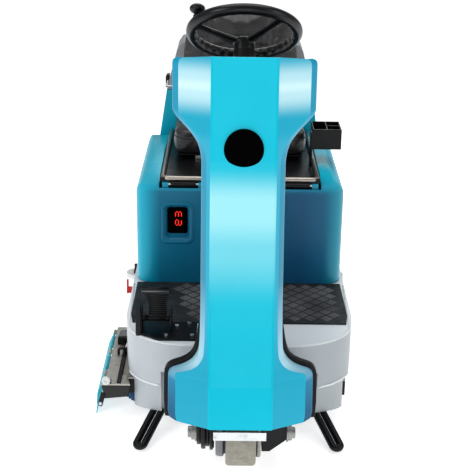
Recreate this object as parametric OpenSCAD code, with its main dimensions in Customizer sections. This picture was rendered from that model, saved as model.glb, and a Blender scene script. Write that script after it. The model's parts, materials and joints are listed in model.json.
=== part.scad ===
/* [Platform and body] */
// Half width of the grey chassis shell
chassis_half_w = 344; // [342:1:346]
// Height of the top of the grey chassis shell
platform_z = 300; // [299:1:302]
// Half width of the blue body
body_half_w = 333; // [330:1:334]
// Front face of the blue body, along Y
body_front_y = -40; // [-42:1:-38]
// Rear face of the blue body, along Y
body_rear_y = 590; // [588:1:590]
// Wall thickness of the moulded shells
shell_wall = 6; // [5:1:7]

/* [Front cover] */
// Half width of the cover's head
head_half_w = 187; // [184:1:190]
// Half width of the cover's column
column_half_w = 110; // [108:1:112]
// Half width of the cover's flared foot
foot_half_w = 196; // [192:1:197]
// Half width of the flat centre band
band_half_w = 82; // [78:1:84]
// Wall thickness of the cover
cover_wall = 5; // [4:1:6]
// Rear edge of the cover's side walls, along Y
cover_back_y = -450; // [-452:1:-448]
// Radius of the round lamp
lamp_r = 51; // [48:1:54]
// Height of the lamp's centre
lamp_z = 926; // [925:1:935]

/* [Steering] */
// Height of the centre of the steering wheel
wheel_z = 1178; // [1172:1:1184]
// Centre of the steering wheel, along Y
wheel_y = -340; // [-342:1:-338]
// Tilt of the steering column from the vertical, in degrees
column_tilt = 35; // [34:0.5:36]
// Radius of the steering wheel's rim, to the middle of its section
rim_r = 144; // [140:1:148]
// Radius of the rim's section
rim_section_r = 15; // [13:1:16]
// Teeth of the large sprocket for each tooth of the small one
sprocket_ratio = 3; // [3:1:3]

/* [Wheels and drive] */
// Radius of all three wheels
tyre_r = 125; // [124:1:125]
// Vertical steering axis of the drive unit, along Y
drive_y = -615; // [-617:1:-614]
// Middle of the rear axle, along Y
rear_axle_y = 330; // [325:1:335]

/* [Scrub deck and squeegee] */
// Radius of each brush
brush_r = 165; // [160:1:166]
// Clearance of brushes and blades above the floor
floor_gap = 2; // [1.5:0.5:3]
// Left edge of the deck, along X
deck_left_x = -402; // [-404:1:-400]
// Radius of the curved squeegee
squeegee_r = 920; // [915:1:925]

/* [Seat] */
// Half width of the seat cushion
seat_half_w = 225; // [218:1:226]
// Front of the seat cushion, along Y
seat_front_y = 200; // [195:1:205]

/* [Hidden] */
$fn = 48;

// Clearance between pieces that move past each other
gap = 0.5;
// Radial clearance of a shaft in its bearing
running = 0.05;

// Steering column
hub_r = 30;
tube_r = 26;
steer_shaft_r = 11;
lower_shaft_r = 10;
joint_drop = 250;
joint_y = wheel_y - joint_drop * sin(column_tilt);
joint_z = wheel_z - joint_drop * cos(column_tilt);
joint_ball_r = 12;
dash_drop = 175;
dash_half_w = 160;
spoke_angles = [-42, -162, 78];
knob_angle = -152;

// Sprockets and chain, in one level plane
small_sprocket_r = 22;
large_sprocket_r = small_sprocket_r * sprocket_ratio;
sprocket_z = 292;
sprocket_t = 6;
chain_t = 5;

// Frame
rail_in_x = 150;
rail_out_x = 200;
frame_low_z = 222;
frame_top_z = 272;
frame_front_y = -432;
frame_rear_y = 740;
bracket_half_w = 100;
kingpin_r = 25;

// Drive unit
tyre_x0 = -38;
tyre_x1 = 46;
tyre_core_r = 92;
axle_r = 15;
fork_in_x = 70;
fork_plate_t = 7;
fork_right_x = 63;
crown_z = 256;
strip_y = -752;

// Chassis shell outline: the front corners are quarter ellipses
corner_a = 206;
corner_b = 150;
corner_y = -346;
shell_step_z = 156;
shell_inset = 14;
shell_low_z = 35;
shell_rear_y = 596;
shell_rear_low_z = 130;
recess_half_w = 229;
recess_back_y = -440;
notch_half_w = 115;
mat_front_y = -345;
recess_top_z = 205;
arch_front_y = -374;
arch_rear_y = 60;
arch_top_z = 165;
wheel_arch_r = 145;

// Body
opening_half_w = 257;
opening_front_y = -20;
display_x = [-245, -153];
display_z = [445, 573];
hood_z = 640;
hood_t = 8;
hood_front_y = -14;
hood_rear_y = 575;
hood_half_w = 254;
hinge_y = -24;
hinge_z = 634;
hinge_pin_r = 4;
hinge_barrel_r = 8;

// Recovery tank
tank_front_y = 592;
tank_rear_y = 775;
seam_z = 797;
lid_hinge_y = 783;
lid_hinge_z = 802;

// Rear wheels
rear_axle_r = 12;
rear_wheel_x = [225, 300];

// Scrub deck
deck_z = 118;
deck_t = 6;
deck_right_x = 326;
deck_front_y = -360;
deck_rear_y = -6;
skirt_hinge = [-408, 121];
skirt_ears = [-330, -184, -40];
brush_y = -184;
brush_x = [-213, 140];
brush_disc_z = 60;
motor_r = 60;
arm_x = 110;
arm_t = 8;
arm_frame_pin = [90, 208];
arm_deck_pin = [-60, 150];
arm_pin_r = 8;

// Squeegee
squeegee_x = -6.5;
squeegee_centre_y = -220;
squeegee_half_w = 388;
roller_r = 37;
roller_y = 640;
roller_pin_r = 6;
squeegee_pin = [450, 205];
squeegee_swing_y = 640;

module block(x, y, z) {
    translate([x[0], y[0], z[0]]) cube([x[1] - x[0], y[1] - y[0], z[1] - z[0]]);
}

module x_cyl(r, x, y, z) {
    translate([x[0], y, z]) rotate([0, 90, 0]) cylinder(r = r, h = x[1] - x[0]);
}

module y_cyl(r, x, y, z) {
    translate([x, y[0], z]) rotate([-90, 0, 0]) cylinder(r = r, h = y[1] - y[0]);
}

module z_cyl(r, x, y, z) {
    translate([x, y, z[0]]) cylinder(r = r, h = z[1] - z[0]);
}

module both_sides() {
    children();
    mirror([1, 0, 0]) children();
}

// Frame of the steering wheel: Z runs up the column, -Y points to the front
module column_axes() {
    translate([0, wheel_y, wheel_z]) rotate([-column_tilt, 0, 0]) children();
}

// A level outline with round corners
module round_plan(x, y, r) {
    translate([x[0] + r, y[0]]) square([x[1] - x[0] - 2 * r, y[1] - y[0]]);
    translate([x[0], y[0] + r]) square([x[1] - x[0], y[1] - y[0] - 2 * r]);
    for (cx = [x[0] + r, x[1] - r], cy = [y[0] + r, y[1] - r])
        translate([cx, cy]) circle(r = r);
}

// An outline in Y and Z, carried along X
module side_profile(points, x) {
    translate([x[0], 0, 0]) rotate([90, 0, 90]) linear_extrude(x[1] - x[0]) polygon(points);
}

// An outline in X and Z, carried along Y
module front_profile(points, y) {
    translate([0, y[1], 0]) rotate([90, 0, 0]) linear_extrude(y[1] - y[0]) polygon(points);
}

// ---- Frame and column ----

module main_frame() {
    color("#2b2d30") difference() {
        union() {
            both_sides()
                block([rail_in_x, rail_out_x], [frame_front_y, frame_rear_y],
                      [frame_low_z, frame_top_z]);
            for (y = [frame_front_y, 5, 545])
                block([-rail_out_x, rail_out_x], [y, y + 40], [frame_low_z, frame_top_z]);
            block([-rail_out_x, rail_out_x], [30, 580], [frame_top_z - 1, frame_top_z + 3]);
            block([-bracket_half_w, bracket_half_w], [drive_y - 70, frame_front_y + 40],
                  [frame_top_z, frame_top_z + 10]);
            both_sides()
                block([rail_out_x - 15, rail_out_x], [rear_axle_y - 25, rear_axle_y + 25],
                      [105, frame_low_z]);
            both_sides()
                block([arm_x + arm_t + 1, arm_x + 2 * arm_t + 1], [65, 115], [190, frame_low_z + 5]);
            both_sides()
                block([arm_x + arm_t + 1, rail_in_x], [65, 115], [frame_low_z - 5, frame_low_z + 5]);
            both_sides() block([62, 72], [squeegee_pin[0] - 20, 545], [185, frame_top_z]);
            both_sides() block([rail_in_x, rail_out_x], [640, 690], [frame_top_z, 329.5]);
        }
        z_cyl(kingpin_r + running, 0, drive_y, [frame_top_z - 5, frame_top_z + 15]);
        x_cyl(rear_axle_r, [-rail_out_x - 5, rail_out_x + 5], rear_axle_y, tyre_r);
        x_cyl(arm_pin_r, [-140, 140], arm_frame_pin[0], arm_frame_pin[1]);
        x_cyl(10, [-80, 80], squeegee_pin[0], squeegee_pin[1]);
    }
}

module column_frame() {
    color("#2b2d30") difference() {
        union() {
            both_sides() block([78, 95], [-515, -458], [frame_top_z + 10, 320]);
            both_sides() block([35, 60], [-515, -458], [320, 1000]);
            block([-95, 95], [-515, -458], [320, 328]);
            block([-60, 60], [-515, -458], [700, 708]);
            block([-60, 60], [-505, -458], [985, 1015]);
            for (z = [500, 880]) block([-95, 95], [-560, -515], [z, z + 5]);
        }
        z_cyl(lower_shaft_r + running, 0, joint_y, [310, 720]);
        column_axes() translate([0, 0, -300]) cylinder(r = tube_r, h = 200);
    }
}

module column_tube() {
    color("#1c1d1f") column_axes() difference() {
        union() {
            translate([0, 0, -222]) cylinder(r = tube_r, h = 50);
            translate([0, 0, -174]) cylinder(r = hub_r, h = 112);
        }
        translate([0, 0, -230]) cylinder(r = steer_shaft_r + running, h = 180);
    }
}

// ---- Front cover ----

// Levels of the cover: height, half width, centre line Y, rise of the edge at the sides
cover_levels = [
    [193, foot_half_w - 4, -785, 10], [216, foot_half_w, -781, 5], [240, foot_half_w, -776, 0],
    [290, foot_half_w, -763, 0], [308, foot_half_w, -758, 0], [318, foot_half_w - 1, -754, 0],
    [324, foot_half_w - 4, -752, 0], [330, 184, -750, 0], [344, 144, -745, 0],
    [358, 126, -740, 0], [382, 114, -732, 0], [425, 111, -718, 0],
    [520, column_half_w, -692, 0], [660, column_half_w, -660, 0], [780, column_half_w, -641, 0],
    [880, column_half_w, -628, 0], [905, 113, -625, 0], [930, 121, -622, 0],
    [957, 140, -619, 0], [985, 168, -615, 0], [1000, 181, -613, 0], [1012, head_half_w, -611, 0],
    [1060, head_half_w, -606, 0], [1128, head_half_w, -601, 0], [1144, head_half_w - 2, -600, -4],
    [1160, head_half_w - 12, -599, -14]
];
// The foot is shallow; above it the side walls reach back to enclose the column
foot_depth = 48;
function cover_rear(z, y) = z <= 396 ? y + facet_drop(foot_half_w) + foot_depth : cover_back_y;
// The side walls' top edge falls to the rear with the dash
function rear_z(z) = z > 1012 ? 1012 + (z - 1012) * 0.23 : z;
bevel_w = 14;
// Set-back of the side facet's outer edge behind the centre band
function facet_drop(w) = 5 + (w - band_half_w - bevel_w) * 0.3;
// One level's outline, from the right rear edge round the front to the left; s shrinks it
function half_outline(z, w, y, s) = [
    [w - s, cover_rear(z, y)],
    [w - s, y + facet_drop(w) + 22 + s],
    [w - bevel_w - s * 0.6, y + facet_drop(w) + s],
    [band_half_w + 5 - s * 0.4, y + 4 + s],
    [band_half_w - s * 0.2, y + s]
];
function level_points(l, s) =
    let (half = half_outline(l[0], l[1], l[2], s), n = len(half))
    [for (i = [0:2 * n - 1])
        let (p = i < n ? half[i] : half[2 * n - 1 - i], side = i < n ? 1 : -1)
        [side * p[0], p[1],
         (i == 0 || i == 2 * n - 1 ? rear_z(l[0]) : l[0]) + l[3] * pow(p[0] / l[1], 2)]];

// A thin shell between an outer and an inner skin, both lofted through the same levels
module thin_loft(outer, inner) {
    n = len(outer[0]);
    m = len(outer);
    points = [for (l = outer) each l, for (l = inner) each l];
    function o(j, i) = j * n + i;
    function k(j, i) = m * n + j * n + i;
    faces = [
        for (j = [0:m - 2], i = [0:n - 2]) each [
            [o(j, i), o(j, i + 1), o(j + 1, i + 1)], [o(j, i), o(j + 1, i + 1), o(j + 1, i)],
            [k(j, i), k(j + 1, i + 1), k(j, i + 1)], [k(j, i), k(j + 1, i), k(j + 1, i + 1)]],
        for (j = [0:m - 2]) each [
            [o(j, 0), o(j + 1, 0), k(j + 1, 0)], [o(j, 0), k(j + 1, 0), k(j, 0)],
            [o(j, n - 1), k(j + 1, n - 1), o(j + 1, n - 1)],
            [o(j, n - 1), k(j, n - 1), k(j + 1, n - 1)]],
        for (i = [0:n - 2]) each [
            [o(0, i), k(0, i + 1), o(0, i + 1)], [o(0, i), k(0, i), k(0, i + 1)],
            [o(m - 1, i), o(m - 1, i + 1), k(m - 1, i + 1)],
            [o(m - 1, i), k(m - 1, i + 1), k(m - 1, i)]]
    ];
    polyhedron(points, faces, convexity = 6);
}

module front_cover() {
    color("#12c5de") difference() {
        thin_loft([for (l = cover_levels) level_points(l, 0)],
                  [for (l = cover_levels) level_points(l, cover_wall)]);
        y_cyl(lamp_r, 0, [-660, -580], lamp_z);
    }
}

module column_back_cover() {
    side = [for (l = cover_levels) if (l[0] > 400 && l[0] < 990) [l[1] - cover_wall - 1.5, l[0]]];
    n = len(side);
    color("#1b1c1e") front_profile(
        concat(side, [for (i = [n - 1:-1:0]) [-side[i][0], side[i][1]]]),
        [cover_back_y - 6, cover_back_y - 1]);
}

module dash_panel() {
    button_hole = 11;
    color("#222427") column_axes() translate([0, 0, -dash_drop]) difference() {
        translate([-dash_half_w, -150, 0]) cube([2 * dash_half_w, 205, 5]);
        translate([0, 0, -1]) cylinder(r = hub_r + 1, h = 10);
        for (p = [[100, -60], [-100, -60]])
            translate([p[0], p[1], -1]) cylinder(r = button_hole, h = 10);
        translate([100, -110, -1]) cylinder(r = 9, h = 10);
    }
}

module lamp_bezel() {
    color("#141517") difference() {
        y_cyl(lamp_r, 0, [-632, -623], lamp_z);
        y_cyl(lamp_r - 8, 0, [-640, -600], lamp_z);
    }
}

module lamp_lens() {
    color("#050506") y_cyl(lamp_r - 8, 0, [-631, -621], lamp_z);
}

// ---- Chassis ----

function corner_arc(inset, steps = 12) = [for (i = [0:steps])
    let (a = 90 * i / steps)
    [notch_half_w + 14 + (corner_a - inset) * sin(a),
     corner_y - (corner_b - inset) * cos(a)]];

module chassis_plan(inset) {
    arc = corner_arc(inset);
    w = notch_half_w + 14 + corner_a - inset;
    for (side = [0, 1]) mirror([side, 0])
        polygon(concat([[0, corner_y - corner_b + inset]], arc,
                       [[chassis_half_w - inset, corner_y + 60],
                        [chassis_half_w - inset, shell_rear_y], [0, shell_rear_y]]));
}

module chassis_shell() {
    inner_w = chassis_half_w - shell_inset - shell_wall;
    color("#c4c9cd") difference() {
        union() {
            translate([0, 0, shell_step_z]) linear_extrude(platform_z - shell_step_z)
                chassis_plan(0);
            translate([0, 0, shell_low_z]) linear_extrude(shell_step_z - shell_low_z)
                chassis_plan(shell_inset);
        }
        // Hollow inside, open below
        intersection() {
            block([-inner_w, inner_w], [recess_back_y + shell_wall, shell_rear_y - shell_wall],
                  [-5, platform_z - 8]);
            translate([0, 0, -10]) linear_extrude(platform_z)
                chassis_plan(shell_inset + shell_wall);
        }
        // Front recess for the drive unit, and the slot for the steering column
        block([-recess_half_w, recess_half_w], [-600, recess_back_y], [-5, recess_top_z]);
        block([-notch_half_w, notch_half_w], [-600, -398], [-5, platform_z + 5]);
        // Battery well
        block([-215, 215], [40, 585], [200, platform_z + 5]);
        // Sloping underside of the front corners
        side_profile([[-600, 0], [-600, 107], [-360, 36], [-300, 36], [-300, 0]], [-400, 400]);
        // Openings in the rear wall for the squeegee arm and the frame rails
        block([-90, 90], [560, 700], [-5, 235]);
        both_sides() block([rail_in_x - 5, rail_out_x + 5], [560, 700], [217, 277]);
        // Arches over the scrub deck, the rear wheels and the squeegee
        block([-400, 400], [arch_front_y, arch_rear_y], [-5, arch_top_z]);
        block([-400, 400], [arch_rear_y - 5, 700], [-5, shell_rear_low_z]);
        x_cyl(wheel_arch_r, [-400, 400], rear_axle_y, tyre_r);
        x_cyl(7, [-400, -300], -9, 262);
    }
}

module platform_mat() {
    inset = 14;
    color("#26282a") translate([0, 0, platform_z]) linear_extrude(5) difference() {
        chassis_plan(inset);
        translate([-400, body_front_y - 1]) square([800, 700]);
        translate([-400, mat_front_y - 400]) square([800, 400]);
    }
}

// ---- Body ----

body_side = [
    [body_front_y, 304], [body_front_y, 618], [-25, 634], [50, 650], [300, 655],
    [560, 635], [body_rear_y, 618], [body_rear_y, 304]
];
cavity_side = [
    [body_front_y + shell_wall, 290], [body_front_y + shell_wall, 615], [-21, 628],
    [52, 644], [300, 649], [557, 629], [body_rear_y - shell_wall, 613],
    [body_rear_y - shell_wall, 290]
];

// Section of the body across the machine: upright sides, rounded over at the top
body_round = 60;
function body_section(w, r) = concat(
    [[-w, 280]],
    [for (a = [0:15:90]) [-w + r - r * cos(a), 655 - body_round + r * sin(a)]],
    [for (a = [90:-15:0]) [w - r + r * cos(a), 655 - body_round + r * sin(a)]],
    [[w, 280]]);

module body_shell() {
    w = body_half_w;
    color("#1487a8") difference() {
        union() {
            difference() {
                union() {
                    difference() {
                        intersection() {
                            side_profile(body_side, [-w - 5, w + 5]);
                            front_profile(body_section(w, body_round),
                                          [body_front_y - 5, body_rear_y + 5]);
                            translate([0, 0, 300]) linear_extrude(420)
                                round_plan([-w, w], [body_front_y, body_rear_y], 55);
                        }
                        intersection() {
                            side_profile(cavity_side, [-w, w]);
                            front_profile(body_section(w - shell_wall, body_round - shell_wall),
                                          [body_front_y - 5, body_rear_y + 5]);
                            translate([0, 0, 280]) linear_extrude(440)
                                round_plan([-w + shell_wall, w - shell_wall],
                                           [body_front_y + shell_wall, body_rear_y - shell_wall], 49);
                        }
                    }
                    intersection() {
                        both_sides() block([opening_half_w - 7, opening_half_w + shell_wall],
                                           [opening_front_y + 5, body_rear_y - 2], [600, 710]);
                        side_profile(body_side, [-w, w]);
                    }
                }
                // Seat opening
                side_profile([[body_front_y + shell_wall, 623], [-20, 623], [-20, 600],
                              [body_rear_y - shell_wall, 600], [body_rear_y - shell_wall, 720],
                              [body_front_y + shell_wall, 720]],
                             [-opening_half_w, opening_half_w]);
            }
            // Lugs that hold the hood's hinge pin
            for (x = [-238, -123, 0, 123, 238])
                side_profile([[body_front_y + 3, 590], [hinge_y + 5, 606],
                              [hinge_y + 5, hinge_z + 6], [hinge_y - 5, hinge_z + 6],
                              [hinge_y - 5, 618], [body_front_y + 3, 610]], [x - 10, x + 10]);
        }
        x_cyl(hinge_pin_r, [-260, 260], hinge_y, hinge_z);
        block(display_x, [body_front_y - 5, body_front_y + 20], display_z);
    }
}

module display_pocket() {
    color("#0c0d0e") difference() {
        block([display_x[0] + 0.5, display_x[1] - 0.5], [body_front_y + 1, body_front_y + 40],
              [display_z[0] + 0.5, display_z[1] - 0.5]);
        block([display_x[0] + 6, display_x[1] - 6], [body_front_y - 5, body_front_y + 30],
              [display_z[0] + 6, display_z[1] - 6]);
    }
}

module display_module() {
    color("#3a0d0c") block([display_x[0] + 22, display_x[1] - 22],
                           [body_front_y + 20, body_front_y + 30], [480, 535]);
}

tank_outline = [[-291, 330], [291, 330], [291, 629], [265, seam_z], [-265, seam_z], [-291, 629]];
tank_cavity = [[-285, 336], [285, 336], [285, 628], [259, 800], [-259, 800], [-285, 628]];
lid_outline = [
    [-265, seam_z + 2], [265, seam_z + 2], [248, 862], [235, 912], [228, 940], [213, 963],
    [190, 973], [-190, 973], [-213, 963], [-228, 940], [-235, 912], [-248, 862]
];
lid_cavity = [
    [-259, seam_z], [259, seam_z], [242, 861], [229, 910], [222, 938], [208, 958],
    [188, 967], [-188, 967], [-208, 958], [-222, 938], [-229, 910], [-242, 861]
];
lid_knuckles = [-180, 0, 180];

module recovery_tank() {
    color("#1690b4") difference() {
        union() {
            front_profile(tank_outline, [tank_front_y, tank_rear_y]);
            for (x = lid_knuckles, side = [-1, 1])
                x_cyl(7, [x + side * 22 - 6, x + side * 22 + 6], lid_hinge_y, lid_hinge_z);
            for (x = lid_knuckles, side = [-1, 1]) {
                block([x + side * 22 - 6, x + side * 22 + 6], [tank_rear_y - 1, lid_hinge_y + 5],
                      [770, 794]);
                block([x + side * 22 - 6, x + side * 22 + 6], [tank_rear_y + 1, lid_hinge_y + 5],
                      [790, lid_hinge_z]);
            }
        }
        front_profile(tank_cavity, [tank_front_y + shell_wall, tank_rear_y - shell_wall]);
        x_cyl(3, [-220, 220], lid_hinge_y, lid_hinge_z);
    }
}

module recovery_lid() {
    color("#3c4044") difference() {
        union() {
            front_profile(lid_outline, [tank_front_y, tank_rear_y]);
            for (x = lid_knuckles) {
                x_cyl(7, [x - 15, x + 15], lid_hinge_y, lid_hinge_z);
                block([x - 15, x + 15], [tank_rear_y - 4, lid_hinge_y], [lid_hinge_z, lid_hinge_z + 7]);
                x_cyl(3 - running, [x - 28, x + 28], lid_hinge_y, lid_hinge_z);
            }
        }
        front_profile(lid_cavity, [tank_front_y + shell_wall, tank_rear_y - shell_wall]);
    }
}

module battery_pack() {
    cell = [180, 258, 262];
    color("#4a4d52") for (i = [0, 1], j = [0, 1])
        translate([i == 0 ? -cell[0] - 3 : 3, 50 + j * (cell[1] + 6), frame_top_z + 4]) {
            cube(cell);
            for (x = [30, 150]) translate([x, 40, cell[2]]) cylinder(r = 10, h = 14);
        }
}

module vacuum_motor() {
    color("#8a8f94") {
        z_cyl(62, -150, 684, [640, 720]);
        z_cyl(48, -150, 684, [720, 770]);
    }
}

// ---- Front guards, pedal, rear axle ----

module guard_loop() {
    tube = 10.5;
    half_pitch = 12;
    leg = 124;
    difference() {
        translate([-245, -454, 55]) rotate([-64.2, 47.2, 0]) rotate([0, 0, -50.2]) {
            for (x = [-half_pitch, half_pitch]) translate([x, 0, -leg])
                cylinder(r = tube, h = leg + 28);
            translate([0, 0, -leg]) rotate([90, 180, 0])
                rotate_extrude(angle = 180) translate([half_pitch, 0]) circle(r = tube);
        }
        side_profile([[-700, 136.6], [-300, 18.2], [-300, 200], [-700, 200]], [-400, -100]);
    }
}

module guard_loop_left() {
    color("#1a1a1b") guard_loop();
}

module guard_loop_right() {
    color("#1a1a1b") mirror([1, 0, 0]) guard_loop();
}

pedal_x = [-284, -208];
pedal_pivot = [-392, 340];
pedal_bolt_places = [[-215, -446], [-139, -446], [-186, -382], [-150, -362]];
pedal_plate = [[-292, -430], [-262, -446], [-240, -466], [-126, -466], [-126, -352], [-292, -352]];

module pedal_base() {
    top = platform_z + 7;
    color("#161718") difference() {
        union() {
            translate([0, 0, platform_z]) linear_extrude(7) polygon(pedal_plate);
            block([-292, -287], [-425, -362], [top, top + 63]);
            block([-205, -200], [-425, -362], [top, top + 48]);
            block([-304, -290], [-434, -398], [platform_z, top + 83]);
        }
        x_cyl(5, [-310, -190], pedal_pivot[0], pedal_pivot[1]);
        for (p = pedal_bolt_places) z_cyl(4, p[0], p[1], [platform_z - 1, platform_z + 10]);
    }
}

module pedal_bolts() {
    color("#e6e8ea") for (p = pedal_bolt_places) {
        z_cyl(4, p[0], p[1], [platform_z + 1, platform_z + 7]);
        translate([p[0], p[1], platform_z + 7]) cylinder(r = 7, h = 5, $fn = 6);
    }
}

module accelerator_pedal() {
    color("#1e1f21") {
        side_profile([[-401, 338], [-383, 338], [-386, 372], [-400, 376]],
                     [pedal_x[0] + 14, pedal_x[1] - 14]);
        side_profile([[-401, 360], [-389, 358], [-406, 446], [-418, 448]], pedal_x);
        x_cyl(11, [pedal_x[0] + 2, pedal_x[1] - 2], pedal_pivot[0], pedal_pivot[1]);
        x_cyl(5 - running, [-292, -200], pedal_pivot[0], pedal_pivot[1]);
    }
}

module rear_axle() {
    color("#9aa0a5") {
        x_cyl(rear_axle_r, [-310, 310], rear_axle_y, tyre_r);
        both_sides() x_cyl(18, [303, 311], rear_axle_y, tyre_r);
    }
}

// Closed plan of a belt round both sprockets, grown by extra
module belt_plan(extra) {
    d = joint_y - drive_y;
    rs = small_sprocket_r + extra;
    rl = large_sprocket_r + extra;
    a = asin((rl - rs) / d);
    circle(r = rl);
    translate([0, d]) circle(r = rs);
    polygon([
        [rl * cos(a), rl * sin(a)], [rs * cos(a), d + rs * sin(a)],
        [-rs * cos(a), d + rs * sin(a)], [-rl * cos(a), rl * sin(a)]
    ]);
}

module steering_chain() {
    color("#55585c") translate([0, drive_y, sprocket_z]) linear_extrude(sprocket_t) difference() {
        belt_plan(gap + chain_t);
        belt_plan(gap);
    }
}

module hood_hinge_pin() {
    color("#b8bcc0") x_cyl(hinge_pin_r, [-240, 240], hinge_y, hinge_z);
}

module valve_body() {
    color("#b08d3a") difference() {
        union() {
            x_cyl(7, [-346, -323], -9, 262);
            x_cyl(16, [-324, -306], -9, 262);
        }
        x_cyl(4, [-350, -320], -9, 262);
    }
}

module valve_lever() {
    color("#d2222a") {
        x_cyl(11, [-368, -347], -9, 262);
        x_cyl(4 - running, [-350, -322], -9, 262);
        block([-368, -362], [-15, -3], [251, 298]);
    }
}

// ---- Drive unit ----

// Outline of the fork's thick right cheek, seen from the front
right_cheek = [[fork_right_x, 60], [85, 60], [132, 98], [132, 200], [100, crown_z + 6],
               [fork_right_x, crown_z + 6]];

module drive_fork() {
    color("#17181a") difference() {
        union() {
            block([-126, 78], [drive_y - 72, drive_y + 72], [crown_z, crown_z + 12]);
            front_profile(right_cheek, [drive_y - 55, drive_y + 55]);
            block([-fork_in_x - fork_plate_t, -fork_in_x], [drive_y - 55, drive_y + 55],
                  [70, crown_z]);
            x_cyl(14, [131, 148], drive_y, 112);
            z_cyl(55, 0, drive_y, [crown_z + 12, frame_top_z - gap]);
            z_cyl(kingpin_r, 0, drive_y, [crown_z + 12, sprocket_z + 16]);
        }
        x_cyl(axle_r + running, [-90, 90], drive_y, tyre_r);
    }
}

module drive_gearbox() {
    color("#17181a") {
        x_cyl(78, [-120, -fork_in_x - fork_plate_t], drive_y, tyre_r);
        block([-120, -fork_in_x - fork_plate_t], [drive_y - 62, drive_y + 62], [tyre_r, 236]);
        x_cyl(19, [-148, -120], drive_y, 112);
    }
}

module fork_front_plate() {
    color("#d9dcdf") {
        block([-68, 66], [strip_y, strip_y + 5], [142, 168]);
        for (x = [-72, 66]) block([x, x + 6], [strip_y, drive_y - 55], [142, 168]);
    }
}

// A sprocket with square-cut teeth
module sprocket(r, teeth) {
    difference() {
        cylinder(r = r, h = sprocket_t);
        for (i = [0:teeth - 1]) rotate([0, 0, 360 * i / teeth])
            translate([r - 3, -1.8, -1]) cube([6, 3.6, sprocket_t + 2]);
    }
}

module large_sprocket() {
    color("#7d8287") translate([0, drive_y, sprocket_z]) difference() {
        sprocket(large_sprocket_r, 36);
        translate([0, 0, -1]) cylinder(r = kingpin_r, h = sprocket_t + 2);
    }
}

module tyre_ring(r, core, x, y, z) {
    edge = 7;
    w = x[1] - x[0];
    translate([x[0], y, z]) rotate([0, 90, 0]) rotate_extrude($fn = 96) polygon([
        [core, 0], [r - edge, 0], for (a = [0:15:90]) [r - edge + edge * sin(a), edge - edge * cos(a)],
        for (a = [0:15:90]) [r - edge + edge * cos(a), w - edge + edge * sin(a)], [core, w]
    ]);
}

module drive_tyre() {
    color("#a79f92") tyre_ring(tyre_r, tyre_core_r, [tyre_x0, tyre_x1], drive_y, tyre_r);
}

module drive_hub() {
    color("#8f959a") {
        x_cyl(tyre_core_r, [tyre_x0, tyre_x1], drive_y, tyre_r);
        x_cyl(89, [-66, -42], drive_y, tyre_r);
        x_cyl(50, [-42, tyre_x0], drive_y, tyre_r);
        x_cyl(91, [tyre_x1 + 2, fork_right_x - 2], drive_y, tyre_r);
        x_cyl(50, [tyre_x1, tyre_x1 + 2], drive_y, tyre_r);
        x_cyl(axle_r, [-fork_in_x - fork_plate_t, fork_in_x + fork_plate_t], drive_y, tyre_r);
    }
}

// ---- Steering wheel ----

module steering_wheel() {
    color("#161719") column_axes() {
        rotate_extrude($fn = 96) translate([rim_r, 0]) circle(r = rim_section_r);
        for (a = spoke_angles) rotate([0, 0, a]) {
            translate([hub_r - 4, -10, -11]) cube([rim_r - hub_r - 2, 20, 8]);
        }
        translate([0, 0, -58]) cylinder(r = hub_r, h = 64);
    }
}

module upper_steering_shaft() {
    color("#8f959a") column_axes() translate([0, 0, -joint_drop + joint_ball_r + 2])
        cylinder(r = steer_shaft_r, h = joint_drop - joint_ball_r - 2 - 58);
}

knob_x = rim_r * cos(knob_angle);
knob_y = rim_r * sin(knob_angle);

module steering_knob() {
    color("#161719") column_axes() translate([knob_x, knob_y, rim_section_r + 1]) {
        cylinder(r = 9, h = 8);
        translate([0, 0, 14]) scale([1, 1, 0.6]) sphere(r = 21, $fn = 48);
    }
}

module lower_steering_shaft() {
    color("#8f959a") {
        z_cyl(lower_shaft_r, 0, joint_y, [sprocket_z, joint_z - 8]);
        translate([0, joint_y, joint_z]) sphere(r = joint_ball_r);
    }
}

module small_sprocket() {
    color("#7d8287") translate([0, joint_y, sprocket_z]) difference() {
        sprocket(small_sprocket_r, 12);
        translate([0, 0, -1]) cylinder(r = lower_shaft_r, h = sprocket_t + 2);
    }
}

// ---- Rear wheels ----

module rear_wheel(x) {
    difference() {
        union() {
            tyre_ring(tyre_r, 84, x, rear_axle_y, tyre_r);
            x_cyl(84, [x[0] + 8, x[1] - 8], rear_axle_y, tyre_r);
            x_cyl(34, x, rear_axle_y, tyre_r);
        }
        x_cyl(rear_axle_r + running, [x[0] - 5, x[1] + 5], rear_axle_y, tyre_r);
    }
}

module rear_wheel_left() {
    color("#9b958b") rear_wheel([-rear_wheel_x[1], -rear_wheel_x[0]]);
}

module rear_wheel_right() {
    color("#9b958b") rear_wheel(rear_wheel_x);
}

// ---- Hood and seat ----

module seat_hood() {
    color("#151617") difference() {
        union() {
            block([-hood_half_w, hood_half_w], [hood_front_y, hood_rear_y], [hood_z, hood_z + hood_t]);
            block([-hood_half_w, hood_half_w], [hood_front_y - 6, hood_front_y], [hood_z, hood_z + 15]);
            for (x = [-181, -65, 65, 181])
                x_cyl(hinge_barrel_r, [x - 40, x + 40], hinge_y, hinge_z);
            for (x = [-181, -65, 65, 181])
                block([x - 40, x + 40], [hinge_y, hood_front_y + 4], [hinge_z, hood_z + 2]);
        }
        x_cyl(hinge_pin_r + running, [-260, 260], hinge_y, hinge_z);
    }
}

module seat_rails() {
    color("#a6abb0") for (x = [-150, 126])
        block([x, x + 24], [seat_front_y + 10, 560], [hood_z + hood_t, hood_z + hood_t + 12]);
}

module seat_pan() {
    rail_top = hood_z + hood_t + 12;
    color("#2a2c2e") {
        block([-seat_half_w + 16, seat_half_w - 16], [seat_front_y + 12, 560],
              [rail_top + gap, rail_top + 6]);
        both_sides() side_profile(
            [[529, rail_top + 6], [558, rail_top + 6], [575.6, 900], [553.5, 900], [529.5, 757]],
            [seat_half_w - 21, seat_half_w - 16]);
    }
}

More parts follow.
